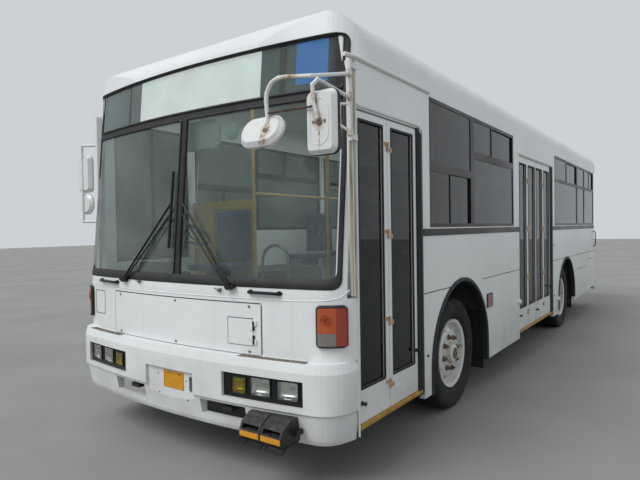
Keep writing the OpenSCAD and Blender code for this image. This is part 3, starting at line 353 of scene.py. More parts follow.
def onFront(nose=plan["panel"]):
    # maps distance round the front from its middle, height and how far proud, to a point: first
    # along the large arc, then round the corner, then straight back along the side
    big, small = plan["noseRadius"], plan["cornerRadius"]
    cornerX = plan["halfWidth"] - small
    turn = math.asin(cornerX / (big - small))
    cornerS = nose + big - math.sqrt((big - small) ** 2 - cornerX ** 2)

    def mapped(along, z, proud):
        along, z, proud = np.broadcast_arrays(*(np.asarray(v, float) for v in (along, z, proud)))
        reach = np.abs(along)
        flat = np.clip(reach, 0, big * turn)
        angle = np.where(reach < big * turn, flat / big, turn + (reach - big * turn) / small)
        past = np.clip(angle - math.pi / 2, 0, None) * small
        angle = np.minimum(angle, math.pi / 2)
        onArc = reach < big * turn
        x = np.where(onArc, (big + proud) * np.sin(angle), cornerX + (small + proud) * np.sin(angle))
        s = np.where(onArc, nose + big - (big + proud) * np.cos(angle), cornerS - (small + proud) * np.cos(angle))
        lean = np.clip(z - plan["leanFrom"], 0, None) * math.tan(math.radians(plan["leanDegrees"]))
        return np.stack([np.sign(along) * x, s + past + lean - origin, z], -1)
    return mapped


def onSide(side, face=plan["halfWidth"]):
    # maps station, height and how far proud to a point on a side wall or a door leaf
    def mapped(s, z, proud):
        s, z, proud = np.broadcast_arrays(*(np.asarray(v, float) for v in (s, z, proud)))
        return np.stack([side * (face + proud), s - origin, z], -1)
    return mapped


def onRear(x, z, proud):
    # maps x, height and how far proud to a point on the rear wall
    x, z, proud = np.broadcast_arrays(*(np.asarray(v, float) for v in (x, z, proud)))
    return np.stack([x, plan["rear"] - origin + proud, z], -1)


def gridFaces(rows, columns, closedRows=False, closedColumns=False):
    i = np.arange(rows - (not closedRows))[:, None]
    j = np.arange(columns - (not closedColumns))[None]
    a, b = i * columns + j, ((i + 1) % rows) * columns + j
    c, d = ((i + 1) % rows) * columns + (j + 1) % columns, i * columns + (j + 1) % columns
    return np.stack([a, d, c, b], -1).reshape(-1, 4).tolist()


def loopOf(low, high, bottom, top, radius, pieces=(12, 8)):
    # rounded rectangle: quarter circles joined by straight sides in even pieces
    corners = np.array([[high - radius, top - radius], [low + radius, top - radius],
                        [low + radius, bottom + radius], [high - radius, bottom + radius]])
    quarters = [np.linspace(0, math.pi / 2, 5) + k * math.pi / 2 for k in range(4)]
    arcs = [corners[k] + radius * np.stack([np.cos(quarters[k]), np.sin(quarters[k])], -1) for k in range(4)]
    points = []
    for k in range(4):
        share = np.linspace(0, 1, pieces[k % 2] + 1)[1:-1, None]
        points += [arcs[k], arcs[k][-1] + (arcs[(k + 1) % 4][0] - arcs[k][-1]) * share]
    return np.concatenate(points)


def ringOn(mapper, outer, inner, section):
    # a closed band between two loops; section rows are the share of the way in and the height
    rows = [mapper(*(outer + (inner - outer) * share).T, proud) for share, proud in section]
    return np.concatenate(rows), gridFaces(len(rows), len(outer), True, True)


def plateOn(mapper, loop, section):
    # a closed plate: the loop drawn in towards its middle by each row's share, at its height
    middle = (loop.max(0) + loop.min(0)) / 2
    rows = [mapper(*(loop + (middle - loop) * share).T, proud) for share, proud in section]
    count = len(loop)
    last = (len(rows) - 1) * count
    caps = [list(range(count))[::-1], [last + k for k in range(count)]]
    return np.concatenate(rows), gridFaces(len(rows), count, False, True) + caps


def stripOn(mapper, along, section):
    # a closed strip that follows a surface: each section row is a height and how far proud
    heights, proud = np.array(section, float).T
    points = mapper(np.asarray(along)[:, None], heights[None], proud[None])
    count, last = len(section), (len(along) - 1) * len(section)
    caps = [list(range(count))[::-1], [last + k for k in range(count)]]
    return points.reshape(-1, 3), gridFaces(len(along), count, False, True) + caps


def tubeAlong(path, radius, sides=10):
    # a round tube carried along a path, closed at both ends
    path = np.asarray(path, float)
    radius = np.broadcast_to(np.asarray(radius, float), (len(path),))
    ahead = np.gradient(path, axis=0)
    ahead /= np.linalg.norm(ahead, axis=1, keepdims=True)
    hint = np.array([0.0, 0.0, 1.0]) if np.abs(ahead[:, 2]).max() < 0.9 else np.array([0.93, 0.37, 0.0])
    side = np.cross(ahead, hint)
    side /= np.linalg.norm(side, axis=1, keepdims=True)
    other = np.cross(ahead, side)
    angle = np.linspace(0, 2 * math.pi, sides, endpoint=False)
    ring = np.cos(angle)[None, :, None] * side[:, None] + np.sin(angle)[None, :, None] * other[:, None]
    points = path[:, None] + radius[:, None, None] * ring
    last = (len(path) - 1) * sides
    caps = [list(range(sides))[::-1], [last + k for k in range(sides)]]
    return points.reshape(-1, 3), gridFaces(len(path), sides, False, True) + caps


def turned(profile, centre, axis=(1, 0, 0), sides=24, start=0.0):
    # profile of (distance along the axis, radius) turned round the axis through the centre
    profile = np.asarray(profile, float)
    angle = np.linspace(0, 2 * math.pi, sides, endpoint=False) + start
    axis = np.asarray(axis, float) / np.linalg.norm(axis)
    side = np.cross(axis, (0, 0, 1.0) if abs(axis[2]) < 0.9 else (1.0, 0, 0))
    side /= np.linalg.norm(side)
    other = np.cross(axis, side)
    ring = np.cos(angle)[:, None] * side + np.sin(angle)[:, None] * other
    points = profile[:, None, 0, None] * axis + profile[:, None, 1, None] * ring[None]
    last = (len(profile) - 1) * sides
    caps = [list(range(sides))[::-1], [last + k for k in range(sides)]]
    return (points + np.asarray(centre, float)).reshape(-1, 3), gridFaces(len(profile), sides, False, True) + caps


def drawn(profile, first, last, axis=1, steps=2):
    # a closed profile in the other two axes, drawn along one axis between two values
    profile = np.asarray(profile, float)
    places = np.linspace(first, last, steps)
    others = [k for k in range(3) if k != axis]
    points = np.zeros((steps, len(profile), 3))
    points[:, :, axis] = places[:, None]
    points[:, :, others[0]] = profile[None, :, 0]
    points[:, :, others[1]] = profile[None, :, 1]
    count = len(profile)
    caps = [list(range(count))[::-1], [(steps - 1) * count + k for k in range(count)]]
    return points.reshape(-1, 3), gridFaces(steps, count, False, True) + caps


def blockOf(low, high, edge):
    # a block with chamfered upright edges, from its low and high corners
    (x0, y0, z0), (x1, y1, z1) = low, high
    outline = [[x0 + edge, y0], [x1 - edge, y0], [x1, y0 + edge], [x1, y1 - edge], [x1 - edge, y1],
               [x0 + edge, y1], [x0, y1 - edge], [x0, y0 + edge]]
    return drawn(outline, z0, z1, 2)


def addPiece(name, parts, finish, body="body", smooth=35, bevel=0.0):
    # one object from several (points, faces) meshes, with its faces turned outwards
    mesh = bpy.data.meshes.new(name)
    points, faces, count = [], [], 0
    for somePoints, someFaces in parts:
        points.append(np.asarray(somePoints, float).reshape(-1, 3))
        faces += [[index + count for index in face] for face in someFaces]
        count += len(points[-1])
    mesh.from_pydata(np.concatenate(points).tolist(), [], faces)
    whole = bmesh.new()
    whole.from_mesh(mesh)
    bmesh.ops.recalc_face_normals(whole, faces=whole.faces)
    whole.to_mesh(mesh)
    whole.free()
    mesh.materials.append(finishes[finish])
    mesh.polygons.foreach_set("use_smooth", np.full(len(mesh.polygons), bool(smooth)))
    if smooth:
        mesh.set_sharp_from_angle(angle=math.radians(smooth))
    piece = bpy.data.objects.new(name, mesh)
    bpy.context.collection.objects.link(piece)
    if bevel:
        rounding = piece.modifiers.new("edge", "BEVEL")
        rounding.width, rounding.segments, rounding.limit_method = bevel, 2, "ANGLE"
    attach(piece, body)
    return piece


seams = {"width": 0.009, "proud": 0.0008,
         # height, then the stretches of the left side and of the right side
         "rows": [[1.099, [[1.345, 1.875], [2.690, 3.948], [5.694, 9.255]], [[0.402, 1.875], [2.690, 9.255]]],
                  [0.853, [[7.444, 8.434]], [[7.444, 8.434]]],
                  [0.965, [[8.513, 9.255]], [[8.513, 9.255]]]]}


def addSeams():
    # black sealed joints between the skin panels
    parts = []
    half = seams["width"] / 2
    for z, left, right in seams["rows"]:
        for side, stretches in ((1, left), (-1, right)):
            face = side * plan["halfWidth"]
            for first, last in stretches:
                profile = [[face - side * 0.001, z - half], [face + side * seams["proud"], z - half * 0.7],
                           [face + side * seams["proud"], z + half * 0.7], [face - side * 0.001, z + half]]
                parts.append(drawn(profile, first - origin, last - origin))
    addPiece("panelSeams", parts, "black_trim")


arches = {"front": 0.640, "rear": 0.595, "low": -0.25,
          # radius past the opening, and how far proud of the skin
          "section": [[-0.002, -0.046], [-0.002, 0.004], [0.006, 0.013], [0.026, 0.013], [0.036, 0.005],
                      [0.036, -0.001]]}


def addArchTrims():
    # rubber lips: a rounded flat section carried round each wheel opening, upright at its ends
    parts = []
    for side in (1, -1):
        for station, radius in ((wheels["front"], arches["front"]), (wheels["rear"], arches["rear"])):
            angle = np.linspace(0, math.pi, 49)
            out, proud = np.array(arches["section"]).T
            along = np.concatenate([-np.cos(angle)[:, None] * (radius + out)])
            up = wheels["height"] + np.sin(angle)[:, None] * (radius + out)
            ends = [np.stack([along[k], np.full(len(out), low)]) for k, low in
                    ((0, 0.303 if station == wheels["front"] else 0.355), (-1, 0.303 if station < 3 else 0.415))]
            along = np.concatenate([ends[0][0][None], along, ends[1][0][None]])
            up = np.concatenate([ends[0][1][None], up, ends[1][1][None]])
            points = onSide(side)(station + along, up, proud[None])
            count = len(out)
            last = (len(along) - 1) * count
            caps = [list(range(count)), [last + k for k in range(count)][::-1]]
            parts.append((points.reshape(-1, 3), gridFaces(len(along), count, False, True) + caps))
    addPiece("archTrims", parts, "black_trim")


jambs = {"face": 1.344,
         # first station, last station, low, high of each doorway's rubber
         "strips": [[1.243, 1.343, 0.352, 2.328], [5.527, 5.692, 0.352, 2.412]], "bead": 0.015}


def addJambRubbers():
    # two hollow rubber beads beside each doorway, with a pale web between them
    parts, webs = [], []
    for first, last, low, high in jambs["strips"]:
        for share in (0.16, 0.56):
            s = first + (last - first) * share
            path = [[jambs["face"], s - origin, z] for z in np.linspace(low, high, 12)]
            parts.append(tubeAlong(path, jambs["bead"], 10))
        s = first + (last - first) * 0.86
        webs.append(drawn([[1.340, s - 0.010 - origin], [1.349, s - 0.007 - origin], [1.349, s + 0.007 - origin],
                           [1.340, s + 0.010 - origin]], low, high, 2))
    addPiece("jambBeads", parts, "black_trim")
    addPiece("jambWebs", webs, "black_metal")


dripRails = {"radius": 0.010,
             # first station, last station and height of each rail, and how far its rear end drops
             "rails": [[0.400, 1.300, 2.348, 0.05], [3.925, 5.640, 2.432, 0.04]],
             "tube": [0.300, 1.460, 2.632, 0.013]}


def addDripRails():
    # rounded rails over both doorways, their rear ends turned down, and the tube under the roof
    parts = []
    for first, last, z, drop in dripRails["rails"]:
        s = np.concatenate([np.linspace(first, last - 0.06, 10), last - 0.06 + 0.06 * np.sin(np.linspace(0.2, 1.57, 7))])
        height = np.concatenate([np.full(10, z), z - drop * (1 - np.cos(np.linspace(0.2, 1.57, 7)))])
        parts.append(tubeAlong(onSide(1)(s, height, 0.004), dripRails["radius"], 10))
    first, last, z, radius = dripRails["tube"]
    s = np.linspace(first, last, 14)
    inward = np.where(s < 0.36, (0.36 - s) * 0.35, 0)
    parts.append(tubeAlong(onSide(1)(s, z, 0.006 - inward), radius, 12))
    addPiece("dripRails", parts, "mirror_white")


sills = {"profile": [[1.318, 0.393], [1.346, 0.393], [1.356, 0.388], [1.357, 0.366], [1.351, 0.364], [1.351, 0.384],
                     [1.345, 0.389], [1.318, 0.389]],
         "stretches": [[0.402, 1.300], [3.952, 5.640]], "ribs": 3}


def addSills():
    # folded yellow edge of the lowest step, with raised ribs across its lip
    parts = []
    for first, last in sills["stretches"]:
        parts.append(drawn(sills["profile"], first - origin, last - origin))
        for k in range(sills["ribs"]):
            path = onSide(1)(np.linspace(first + 0.01, last - 0.01, 4), 0.370 + 0.007 * k, 0.0068)
            parts.append(tubeAlong(path, 0.0014, 6))
    addPiece("doorSills", parts, "sill_yellow")


pillar = {"beads": [[1.3385, 0.352, 0.010], [1.3475, 0.374, 0.009]], "strip": [1.350, 0.392, 0.007],
          "low": 1.195, "high": 2.615, "foot": 0.330}


def addPillarTrims():
    # upright beads on the pillar ahead of the front door: cream sealant, then white
    parts = [tubeAlong([[x, s - origin, z] for z in np.linspace(pillar["low"], pillar["high"], 16)], r, 10)
             for x, s, r in pillar["beads"]]
    addPiece("pillarSealant", parts, "sealant")
    x, s, r = pillar["strip"]
    path = [[x, s - origin, z] for z in np.linspace(pillar["foot"], pillar["high"], 20)]
    addPiece("pillarStrip", [tubeAlong(path, r, 10)], "mirror_white")


# Leaves: body, glass's first and last station, low and high edge of the glass
leaves = [["front_door_post", 0.860, 1.183, 0.612, 2.266], ["front_door_lead", 0.440, 0.740, 0.612, 2.266],
          ["mid_door_1", 4.005, 4.289, 0.643, 2.329], ["mid_door_2", 4.395, 4.699, 0.643, 2.329],
          ["mid_door_3", 4.778, 5.082, 0.643, 2.329], ["mid_door_4", 5.188, 5.472, 0.643, 2.329]]
leafTrim = {"face": 1.342, "width": 0.012, "radius": 0.012,
            "section": [[0, -0.001], [0, 0.0015], [0.3, 0.0035], [0.7, 0.0035], [1, 0.0015], [1, -0.006]],
            # fold lines: station, lead body, side of the lead, post body
            "folds": [[0.801, "front_door_lead", -1, "front_door_post"], [4.342, "mid_door_2", 1, "mid_door_1"],
                      [5.135, "mid_door_3", -1, "mid_door_4"]],
            "hinges": (0.560, 0.980, 1.560, 2.140)}


def addLeafTrims():
    # glazing rubber in each leaf's opening, hinge plates with their screws, and small knobs
    for body, first, last, low, high in leaves:
        outer = loopOf(first - leafTrim["width"], last + leafTrim["width"], low - leafTrim["width"],
                       high + leafTrim["width"], leafTrim["radius"])
        inner = loopOf(first + 0.004, last - 0.004, low + 0.004, high - 0.004, 0.006)
        addPiece("glazingRubber_" + body, [ringOn(onSide(1, leafTrim["face"]), outer, inner, leafTrim["section"])],
                 "black_trim", body)
    for s, lead, way, post in leafTrim["folds"]:
        for body, side, offset in ((lead, way, 0.0003), (post, -way, -0.032)):
            parts = []
            for z in leafTrim["hinges"]:
                low = z + offset
                first, last = sorted((s + side * 0.012, s + side * 0.060))
                outline = loopOf(first, last, low + 0.001, low + 0.0307, 0.004)
                parts.append(plateOn(onSide(1, leafTrim["face"] + 0.004), outline,
                                     [(0, 0), (0, 0.001), (0.04, 0.0016), (0.5, 0.0016)]))
                for t in (0.026, 0.048):
                    parts.append(turned([[0, 0.0052], [0.003, 0.0045], [0.0042, 0.002]],
                                        (leafTrim["face"] + 0.0056, s + side * t - origin, low + 0.0158), (1, 0, 0), 10))
                parts.append(tubeAlong([[1.351, s - origin, low + 0.001 + h] for h in (0, 0.015, 0.0297)], 0.0088, 12))
            addPiece("foldHinges_" + body, parts, "brass", body)
    knobs = [["front_door_lead", 0.440, 0.520], ["front_door_post", 1.212, 0.700], ["mid_door_1", 3.975, 0.560],
             ["mid_door_4", 5.500, 0.760], ["mid_door_3", 4.760, 0.530]]
    for body, s, z in knobs:
        spot = (leafTrim["face"], s - origin, z)
        profile = [[-0.001, 0.015], [0.004, 0.015], [0.006, 0.009], [0.018, 0.009], [0.022, 0.013], [0.030, 0.012],
                   [0.033, 0.006]]
        addPiece("knob_" + body, [turned(profile, spot, (1, 0, 0), 18)], "black_trim", body)


addSeams()
addArchTrims()
addJambRubbers()
addDripRails()
addSills()
addPillarTrims()
addLeafTrims()
print("side trim added")

cover = {"x": 0.780, "z": (0.804, 1.130), "line": 0.006,
         "screws": [[x, z] for x in (-0.690, 0.010, 0.690) for z in (1.112, 0.822)],
         "outlineRow": [(0, -0.001), (0, 0.0008), (1, 0.0008), (1, -0.001)]}
sideFlap = {"along": (-1.142, -0.965), "z": (0.925, 1.120)}


def addCoverTrims():
    # black joint round the cover, with rounded corners, its fasteners, and a smaller flap's joint
    parts = []
    reach = plan["noseRadius"] * math.asin(cover["x"] / plan["noseRadius"])
    outer = loopOf(-reach - 0.007, reach + 0.007, cover["z"][0] - 0.0035, cover["z"][1] + 0.007, 0.020)
    inner = loopOf(-reach, reach, cover["z"][0], cover["z"][1], 0.012)
    parts.append(ringOn(onFront(), outer, inner, cover["outlineRow"]))
    outer = loopOf(*sideFlap["along"], *sideFlap["z"], 0.016)
    inner = loopOf(sideFlap["along"][0] + 0.005, sideFlap["along"][1] - 0.005, sideFlap["z"][0] + 0.005,
                   sideFlap["z"][1] - 0.005, 0.012)
    parts.append(ringOn(onFront(), outer, inner, cover["outlineRow"]))
    addPiece("coverJoints", parts, "black_trim")
    screws = []
    for x, z in cover["screws"]:
        spot = onFront()(x, z, 0.003)
        screws.append(turned([[-0.001, 0.010], [0.003, 0.009], [0.0045, 0.006], [0.003, 0.004]], spot, (0, -1, 0), 14))
    addPiece("coverScrews", screws, "galvanised")


flapHinge = {"x": 0.727, "radius": 0.0072,
             "barrels": [[0.872, 0.030, "body"], [0.9025, 0.030, "front_flap"], [0.961, 0.030, "front_flap"],
                         [0.9915, 0.030, "body"]]}


def addFlapHinge():
    # dark plated barrels over the flap's hinge
    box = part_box("front_flap")
    for k, (z, length, body) in enumerate(flapHinge["barrels"]):
        spot = onFront()(flapHinge["x"], z, 0.009)
        path = [[spot[0], spot[1], z + 0.001 + t * (length - 0.002)] for t in (0, 0.5, 1)]
        addPiece("flapBarrel_%d" % k, [tubeAlong(path, flapHinge["radius"], 12)], "black_metal", body)


crease = {"points": [[-1.330, 1.232], [-1.296, 1.188], [-1.230, 1.170], [-1.057, 1.162], [0, 1.162], [1.057, 1.164],
                     [1.230, 1.172], [1.296, 1.188], [1.330, 1.232]], "radius": 0.0045}


def addCrease():
    # pressed line under the windscreen, turned up at both corners: a slim bead let into the panel
    big, small = plan["noseRadius"], plan["cornerRadius"]
    cornerX = plan["halfWidth"] - small
    turn = math.asin(cornerX / (big - small))
    along, height = [], []
    for x, z in crease["points"]:
        reach = abs(x)
        a = big * math.asin(reach / big) if reach < cornerX + small * math.sin(turn) else \
            big * turn + small * (math.asin((reach - cornerX) / small) - turn)
        along.append(math.copysign(a, x))
        height.append(z)
    fine = np.linspace(along[0], along[-1], 90)
    path = onFront()(fine, np.interp(fine, along, height), -0.001)
    addPiece("frontCrease", [tubeAlong(path, crease["radius"], 8)], "body_white")


screenTrim = {"outer": [-1.335, 1.335, 1.232, 2.800, 0.060], "apron": [1.310, 1.170, 1.250],
              "infill": [1.292, 1.368, 1.168, 2.080],
              "panes": [[-1.315, -0.026, 1.268, 2.407], [0.026, 1.315, 1.268, 2.407], [-1.295, 1.295, 2.460, 2.792]]}


def addScreenRubbers():
    # white apron over the frame's foot and beside its lower corners, rubber round the whole
    # windscreen, and a thinner lip round each pane
    reach, foot, head = screenTrim["apron"]
    skins = [stripOn(onFront(), np.linspace(-reach, reach, 80),
                     [[foot, -0.0035], [foot, 0.0004], [foot + 0.004, 0.001], [head, 0.001], [head, -0.0035]])]
    near, far, foot, head = screenTrim["infill"]
    for side in (1, -1):
        skins.append(stripOn(onFront(), side * np.linspace(near, far, 6),
                             [[foot, -0.006], [foot, -0.001], [1.3, -0.001], [1.6, -0.001], [head, -0.001],
                              [head, -0.006]]))
    addPiece("screenApron", skins, "body_white")
    parts = []
    left, right, foot, head, radius = screenTrim["outer"]
    loop = loopOf(left, right, foot, head, radius, (64, 20))
    inner = loopOf(left + 0.036, right - 0.036, foot + 0.066, head - 0.012, 0.045, (64, 20))
    parts.append(ringOn(onFront(), loop, inner,
                        [(0, -0.006), (0.05, 0.004), (0.35, 0.009), (0.7, 0.006), (1, -0.002), (1, -0.006)]))
    for low, high, bottom, top in screenTrim["panes"]:
        outer = loopOf(low - 0.004, high + 0.004, bottom - 0.006, top + 0.006, 0.022, (48, 16))
        inner = loopOf(low + 0.010, high - 0.010, bottom + 0.010, top - 0.010, 0.016, (48, 16))
        parts.append(ringOn(onFront(), outer, inner, [(0, -0.006), (0, -0.002), (0.4, 0.001), (1, -0.006), (1, -0.008)]))
    addPiece("screenRubbers", parts, "black_trim")
    # upright dark bars beside the sign's plain panels and at its ends
    bars = []
    for x, half in ((-1.262, 0.045), (-0.735, 0.012), (0.865, 0.022), (1.248, 0.055)):
        outline = loopOf(x - half, x + half, 2.464, 2.790, 0.004)
        bars.append(plateOn(onFront(), outline, [(0, -0.024), (0, -0.018), (0.1, -0.017), (0.5, -0.017)]))
    addPiece("signBars", bars, "black_metal")


gripBars = [[0.690, 0.938, 1.207], [-1.019, -0.723, 1.207]]


def addGripBars():
    # black grips under the windscreen, standing off on a foot at each end
    parts = []
    for first, last, z in gripBars:
        along = np.linspace(first, last, 12)
        lift = 0.026 * np.clip(np.minimum(along - first, last - along) / 0.022, 0, 1) ** 0.6 - 0.002
        parts.append(tubeAlong(onFront()(along, z - 0.012 * (along - first), lift), 0.0105, 10))
        for end in (first + 0.016, last - 0.016):
            parts.append(turned([[-0.004, 0.017], [0.010, 0.015], [0.026, 0.011]],
                                onFront()(end, z - 0.012 * (end - first), 0.0), (0, -1, 0), 14))
    addPiece("gripBars", parts, "black_metal")


nozzles = [[0.445, 1.206], [-0.418, 1.225]]


def addNozzles():
    # washer jets: a flared foot with two arms
    parts = []
    for x, z in nozzles:
        spot = onFront()(x, z, 0.0)
        parts.append(turned([[-0.003, 0.016], [0.006, 0.014], [0.014, 0.009], [0.022, 0.010], [0.026, 0.005]],
                            spot, (0, -1, 0.2), 14))
        parts.append(tubeAlong([spot + [dx, -0.018, 0.004 + abs(dx) * 0.25] for dx in (-0.034, -0.012, 0.012, 0.034)],
                               0.0045, 8))
    addPiece("washerJets", parts, "galvanised")


wiperCaps = {"pivots": [[0.540, 1.240], [-0.610, 1.240]]}


def addWiperCaps():
    # domed caps and clamps on the wipers' pivots
    parts = []
    for x, z in wiperCaps["pivots"]:
        base = onFront()(x, z, 0.0)
        parts.append(turned([[-0.004, 0.032], [0.006, 0.030], [0.012, 0.020], [0.030, 0.018], [0.036, 0.012],
                             [0.038, 0.0]], base, (0, -1, 0), 20))
        parts.append(turned([[0.010, 0.013], [0.034, 0.013], [0.037, 0.008]],
                            base + [math.copysign(0.036, x), 0, -0.004], (0, -1, 0), 14))
    addPiece("wiperCaps", parts, "black_metal")


addCoverTrims()
addFlapHinge()
addCrease()
addScreenRubbers()
addGripBars()
addNozzles()
addWiperCaps()
print("front trim added")

turnLamps = {"along": (1.193, 1.352), "z": (0.903, 1.133), "lens": 0.027}


def addTurnLampTrims():
    # rounded rubber gasket round each corner lamp, and pressed rings in its front lens
    parts, rings = [], []
    for side in (1, -1):
        low, high = sorted((side * turnLamps["along"][0], side * turnLamps["along"][1]))
        outer = loopOf(low - 0.015, high + 0.015, turnLamps["z"][0] - 0.013, turnLamps["z"][1] + 0.013, 0.028)
        inner = loopOf(low - 0.001, high + 0.001, turnLamps["z"][0] - 0.001, turnLamps["z"][1] + 0.001, 0.016)
        parts.append(ringOn(onFront(), outer, inner, [(0, -0.001), (0, 0.012), (0.3, 0.022), (0.8, 0.0265), (1, 0.025),
                                                      (1, -0.001)]))
        spot = onFront()(side * 1.238, 1.060, turnLamps["lens"])
        back = onFront()(side * 1.238, 1.060, 0.0)
        axis = spot - back
        for radius in (0.034, 0.024, 0.014):
            rings.append(turned([[0, radius + 0.002], [0.0015, radius + 0.001], [0.0015, radius - 0.002],
                                 [0, radius - 0.003]], spot, axis, 30))
    addPiece("turnLampGaskets", parts, "black_trim")
    addPiece("turnLampRings", rings, "amber")


sideMarker = {"s": (2.793, 2.949), "z": (0.809, 0.936), "thick": 0.012}


def addSideMarkers():
    # rubber surround of the side marker
    parts = []
    for side in (1, -1):
        outer = loopOf(sideMarker["s"][0] - 0.006, sideMarker["s"][1] + 0.006, sideMarker["z"][0] - 0.006,
                       sideMarker["z"][1] + 0.006, 0.010)
        inner = loopOf(*sideMarker["s"], *sideMarker["z"], 0.004)
        parts.append(ringOn(onSide(side), outer, inner, [(0, -0.001), (0, 0.005), (0.5, 0.008), (1, 0.008), (1, -0.001)]))
    addPiece("markerSurrounds", parts, "black_trim")


lamps = {"rows": [[0.591, 0.701, 0.564, 0.662], [0.739, 0.888, 0.567, 0.678], [0.939, 1.088, 0.567, 0.678]],
         "inset": -0.016, "depth": 0.042, "lens": 0.004}


def addHeadlamps():
    # Each lamp has a lens on the face, a silvered bowl behind it and a bulb. The bowl's depth is
    # greatest in the middle and falls to nothing at the edges, as the fourth root of the product
    # of one less the fourth power of each share of the half width and half height.
    lens = {"lamp_glass": [], "fog_glass": []}
    bowls, bulbs, bezels = [], [], []
    for side in (1, -1):
        for low, high, bottom, top in lamps["rows"]:
            first, last = sorted((side * low, side * high))
            face = onFront(plan["bumper"])
            outline = loopOf(first + 0.002, last - 0.002, bottom + 0.002, top - 0.002, 0.010)
            kind = "fog_glass" if high < 0.72 else "lamp_glass"
            lens[kind].append(plateOn(face, outline, [(0, lamps["inset"] - lamps["lens"]), (0, lamps["inset"] - 0.002),
                                                      (0.06, lamps["inset"]), (0.5, lamps["inset"] + 0.001),
                                                      (0.9, lamps["inset"] + 0.0015)]))
            u, v = np.meshgrid(np.linspace(-1, 1, 25), np.linspace(-1, 1, 21))
            deep = lamps["depth"] * ((1 - u ** 4) * (1 - v ** 4)) ** 0.5
            along = (first + last) / 2 + u * (last - first) / 2 * 0.98
            height = (bottom + top) / 2 + v * (top - bottom) / 2 * 0.98
            front = face(along, height, lamps["inset"] - 0.006 - deep)
            behind = face(along, height, lamps["inset"] - 0.0075 - deep)
            count = u.size
            back = [[index + count for index in quad[::-1]] for quad in gridFaces(*u.shape)]
            bowls.append((np.concatenate([front.reshape(-1, 3), behind.reshape(-1, 3)]), gridFaces(*u.shape) + back))
            middle = face((first + last) / 2, (bottom + top) / 2, lamps["inset"] - 0.045)
            bulbs.append(turned([[0, 0.010], [0.012, 0.010], [0.020, 0.007], [0.023, 0.002]], middle, (0, -1, 0), 16))
            outer = loopOf(first - 0.006, last + 0.006, bottom - 0.006, top + 0.006, 0.014)
            bezels.append(ringOn(face, outer, loopOf(first + 0.001, last - 0.001, bottom + 0.001, top - 0.001, 0.010),
                                 [(0, -0.024), (0, -0.016), (0.5, -0.013), (1, -0.015), (1, -0.024)]))
    first = addPiece("headlampLenses", lens["lamp_glass"], "lamp_glass")
    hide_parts("headlamps")
    addPiece("fogLenses", lens["fog_glass"], "fog_glass")
    addPiece("lampBowls", bowls, "chrome")
    addPiece("lampBulbs", bulbs, "chrome")
    addPiece("lampBezels", bezels, "black_metal")


plate = {"x": (-0.072, 0.142), "z": (0.500, 0.620), "face": 0.053}


def addPlateTrims():
    # pressed border and bolts of the plain plate, and the slotted fitting and holes beside it
    def onPlate(x, z, proud):
        x, z, proud = np.broadcast_arrays(*(np.asarray(v, float) for v in (x, z, proud)))
        return np.stack([x, plate["face"] - origin - proud, z], -1)
    low, high = plate["x"]
    bottom, top = plate["z"]
    border = ringOn(onPlate, loopOf(low + 0.004, high - 0.004, bottom + 0.004, top - 0.004, 0.006),
                    loopOf(low + 0.009, high - 0.009, bottom + 0.009, top - 0.009, 0.004),
                    [(0, -0.001), (0.3, 0.002), (0.7, 0.002), (1, -0.001)])
    addPiece("plateBorder", [border], "yellow_plate")
    bolts = [turned([[-0.001, 0.008], [0.003, 0.0075], [0.005, 0.004]], onPlate(x, 0.607, 0), (0, -1, 0), 6)
             for x in (-0.025, 0.095)]
    addPiece("plateBolts", bolts, "galvanised")
    holes = [turned([[-0.002, 0.006], [0.001, 0.0055], [0.0014, 0.002]], onPlate(x, z, -0.003), (0, -1, 0), 12)
             for x, z in ((-0.135, 0.585), (0.165, 0.570), (-0.125, 0.450), (0.180, 0.440), (0.238, 0.610))]
    addPiece("plateHoles", holes, "black_trim")
    slot = plateOn(onPlate, loopOf(0.200, 0.226, 0.505, 0.608, 0.012), [(0, -0.004), (0, 0.001), (0.1, 0.002), (0.5, 0.002)])
    addPiece("slotFitting", [slot], "galvanised")
    mouth = plateOn(onPlate, loopOf(0.206, 0.220, 0.578, 0.602, 0.006), [(0, 0.001), (0, 0.003), (0.5, 0.003)])
    addPiece("slotMouth", [mouth], "black_trim")


gripStrips = {"x": (0.641, 1.139), "z": 0.8005, "near": -0.016, "far": -0.062, "grains": 900}


def addGripStrips():
    # gritted strips on the bumper's top, following its arc, with a scatter of coarse grains
    parts = []
    rng = np.random.default_rng(7)
    for side in (1, -1):
        along = np.linspace(*gripStrips["x"], 24)
        rows = [onFront(plan["bumper"])(side * along, gripStrips["z"] + h, inward)
                for inward, h in ((gripStrips["near"], -0.001), (gripStrips["near"], 0.0022),
                                  (gripStrips["far"], 0.0022), (gripStrips["far"], -0.001))]
        parts.append((np.concatenate(rows), gridFaces(4, 24) + [[0, 24, 48, 72], [95, 71, 47, 23]]))
        u = rng.uniform(*gripStrips["x"], gripStrips["grains"])
        w = rng.uniform(gripStrips["far"] + 0.002, gripStrips["near"] - 0.002, gripStrips["grains"])
        size = rng.uniform(0.0011, 0.0024, gripStrips["grains"])
        centre = onFront(plan["bumper"])(side * u, gripStrips["z"] + 0.0022, w)
        corners = np.array([[-1, -1, 0], [1, -1, 0], [1, 1, 0], [-1, 1, 0], [0, 0, 1.1]], float)
        points = centre[:, None] + size[:, None, None] * corners[None]
        tri = np.array([[0, 1, 4], [1, 2, 4], [2, 3, 4], [3, 0, 4]])
        faces = (tri[None] + 5 * np.arange(len(u))[:, None, None]).reshape(-1, 3).tolist()
        parts.append((points.reshape(-1, 3), faces))
    addPiece("gripStrips", parts, "grit", smooth=0)


chockTrim = {"bars": [[0.752, 0.904], [0.919, 1.071]], "s": -0.0305, "z": (0.353, 0.385), "thick": 0.003}


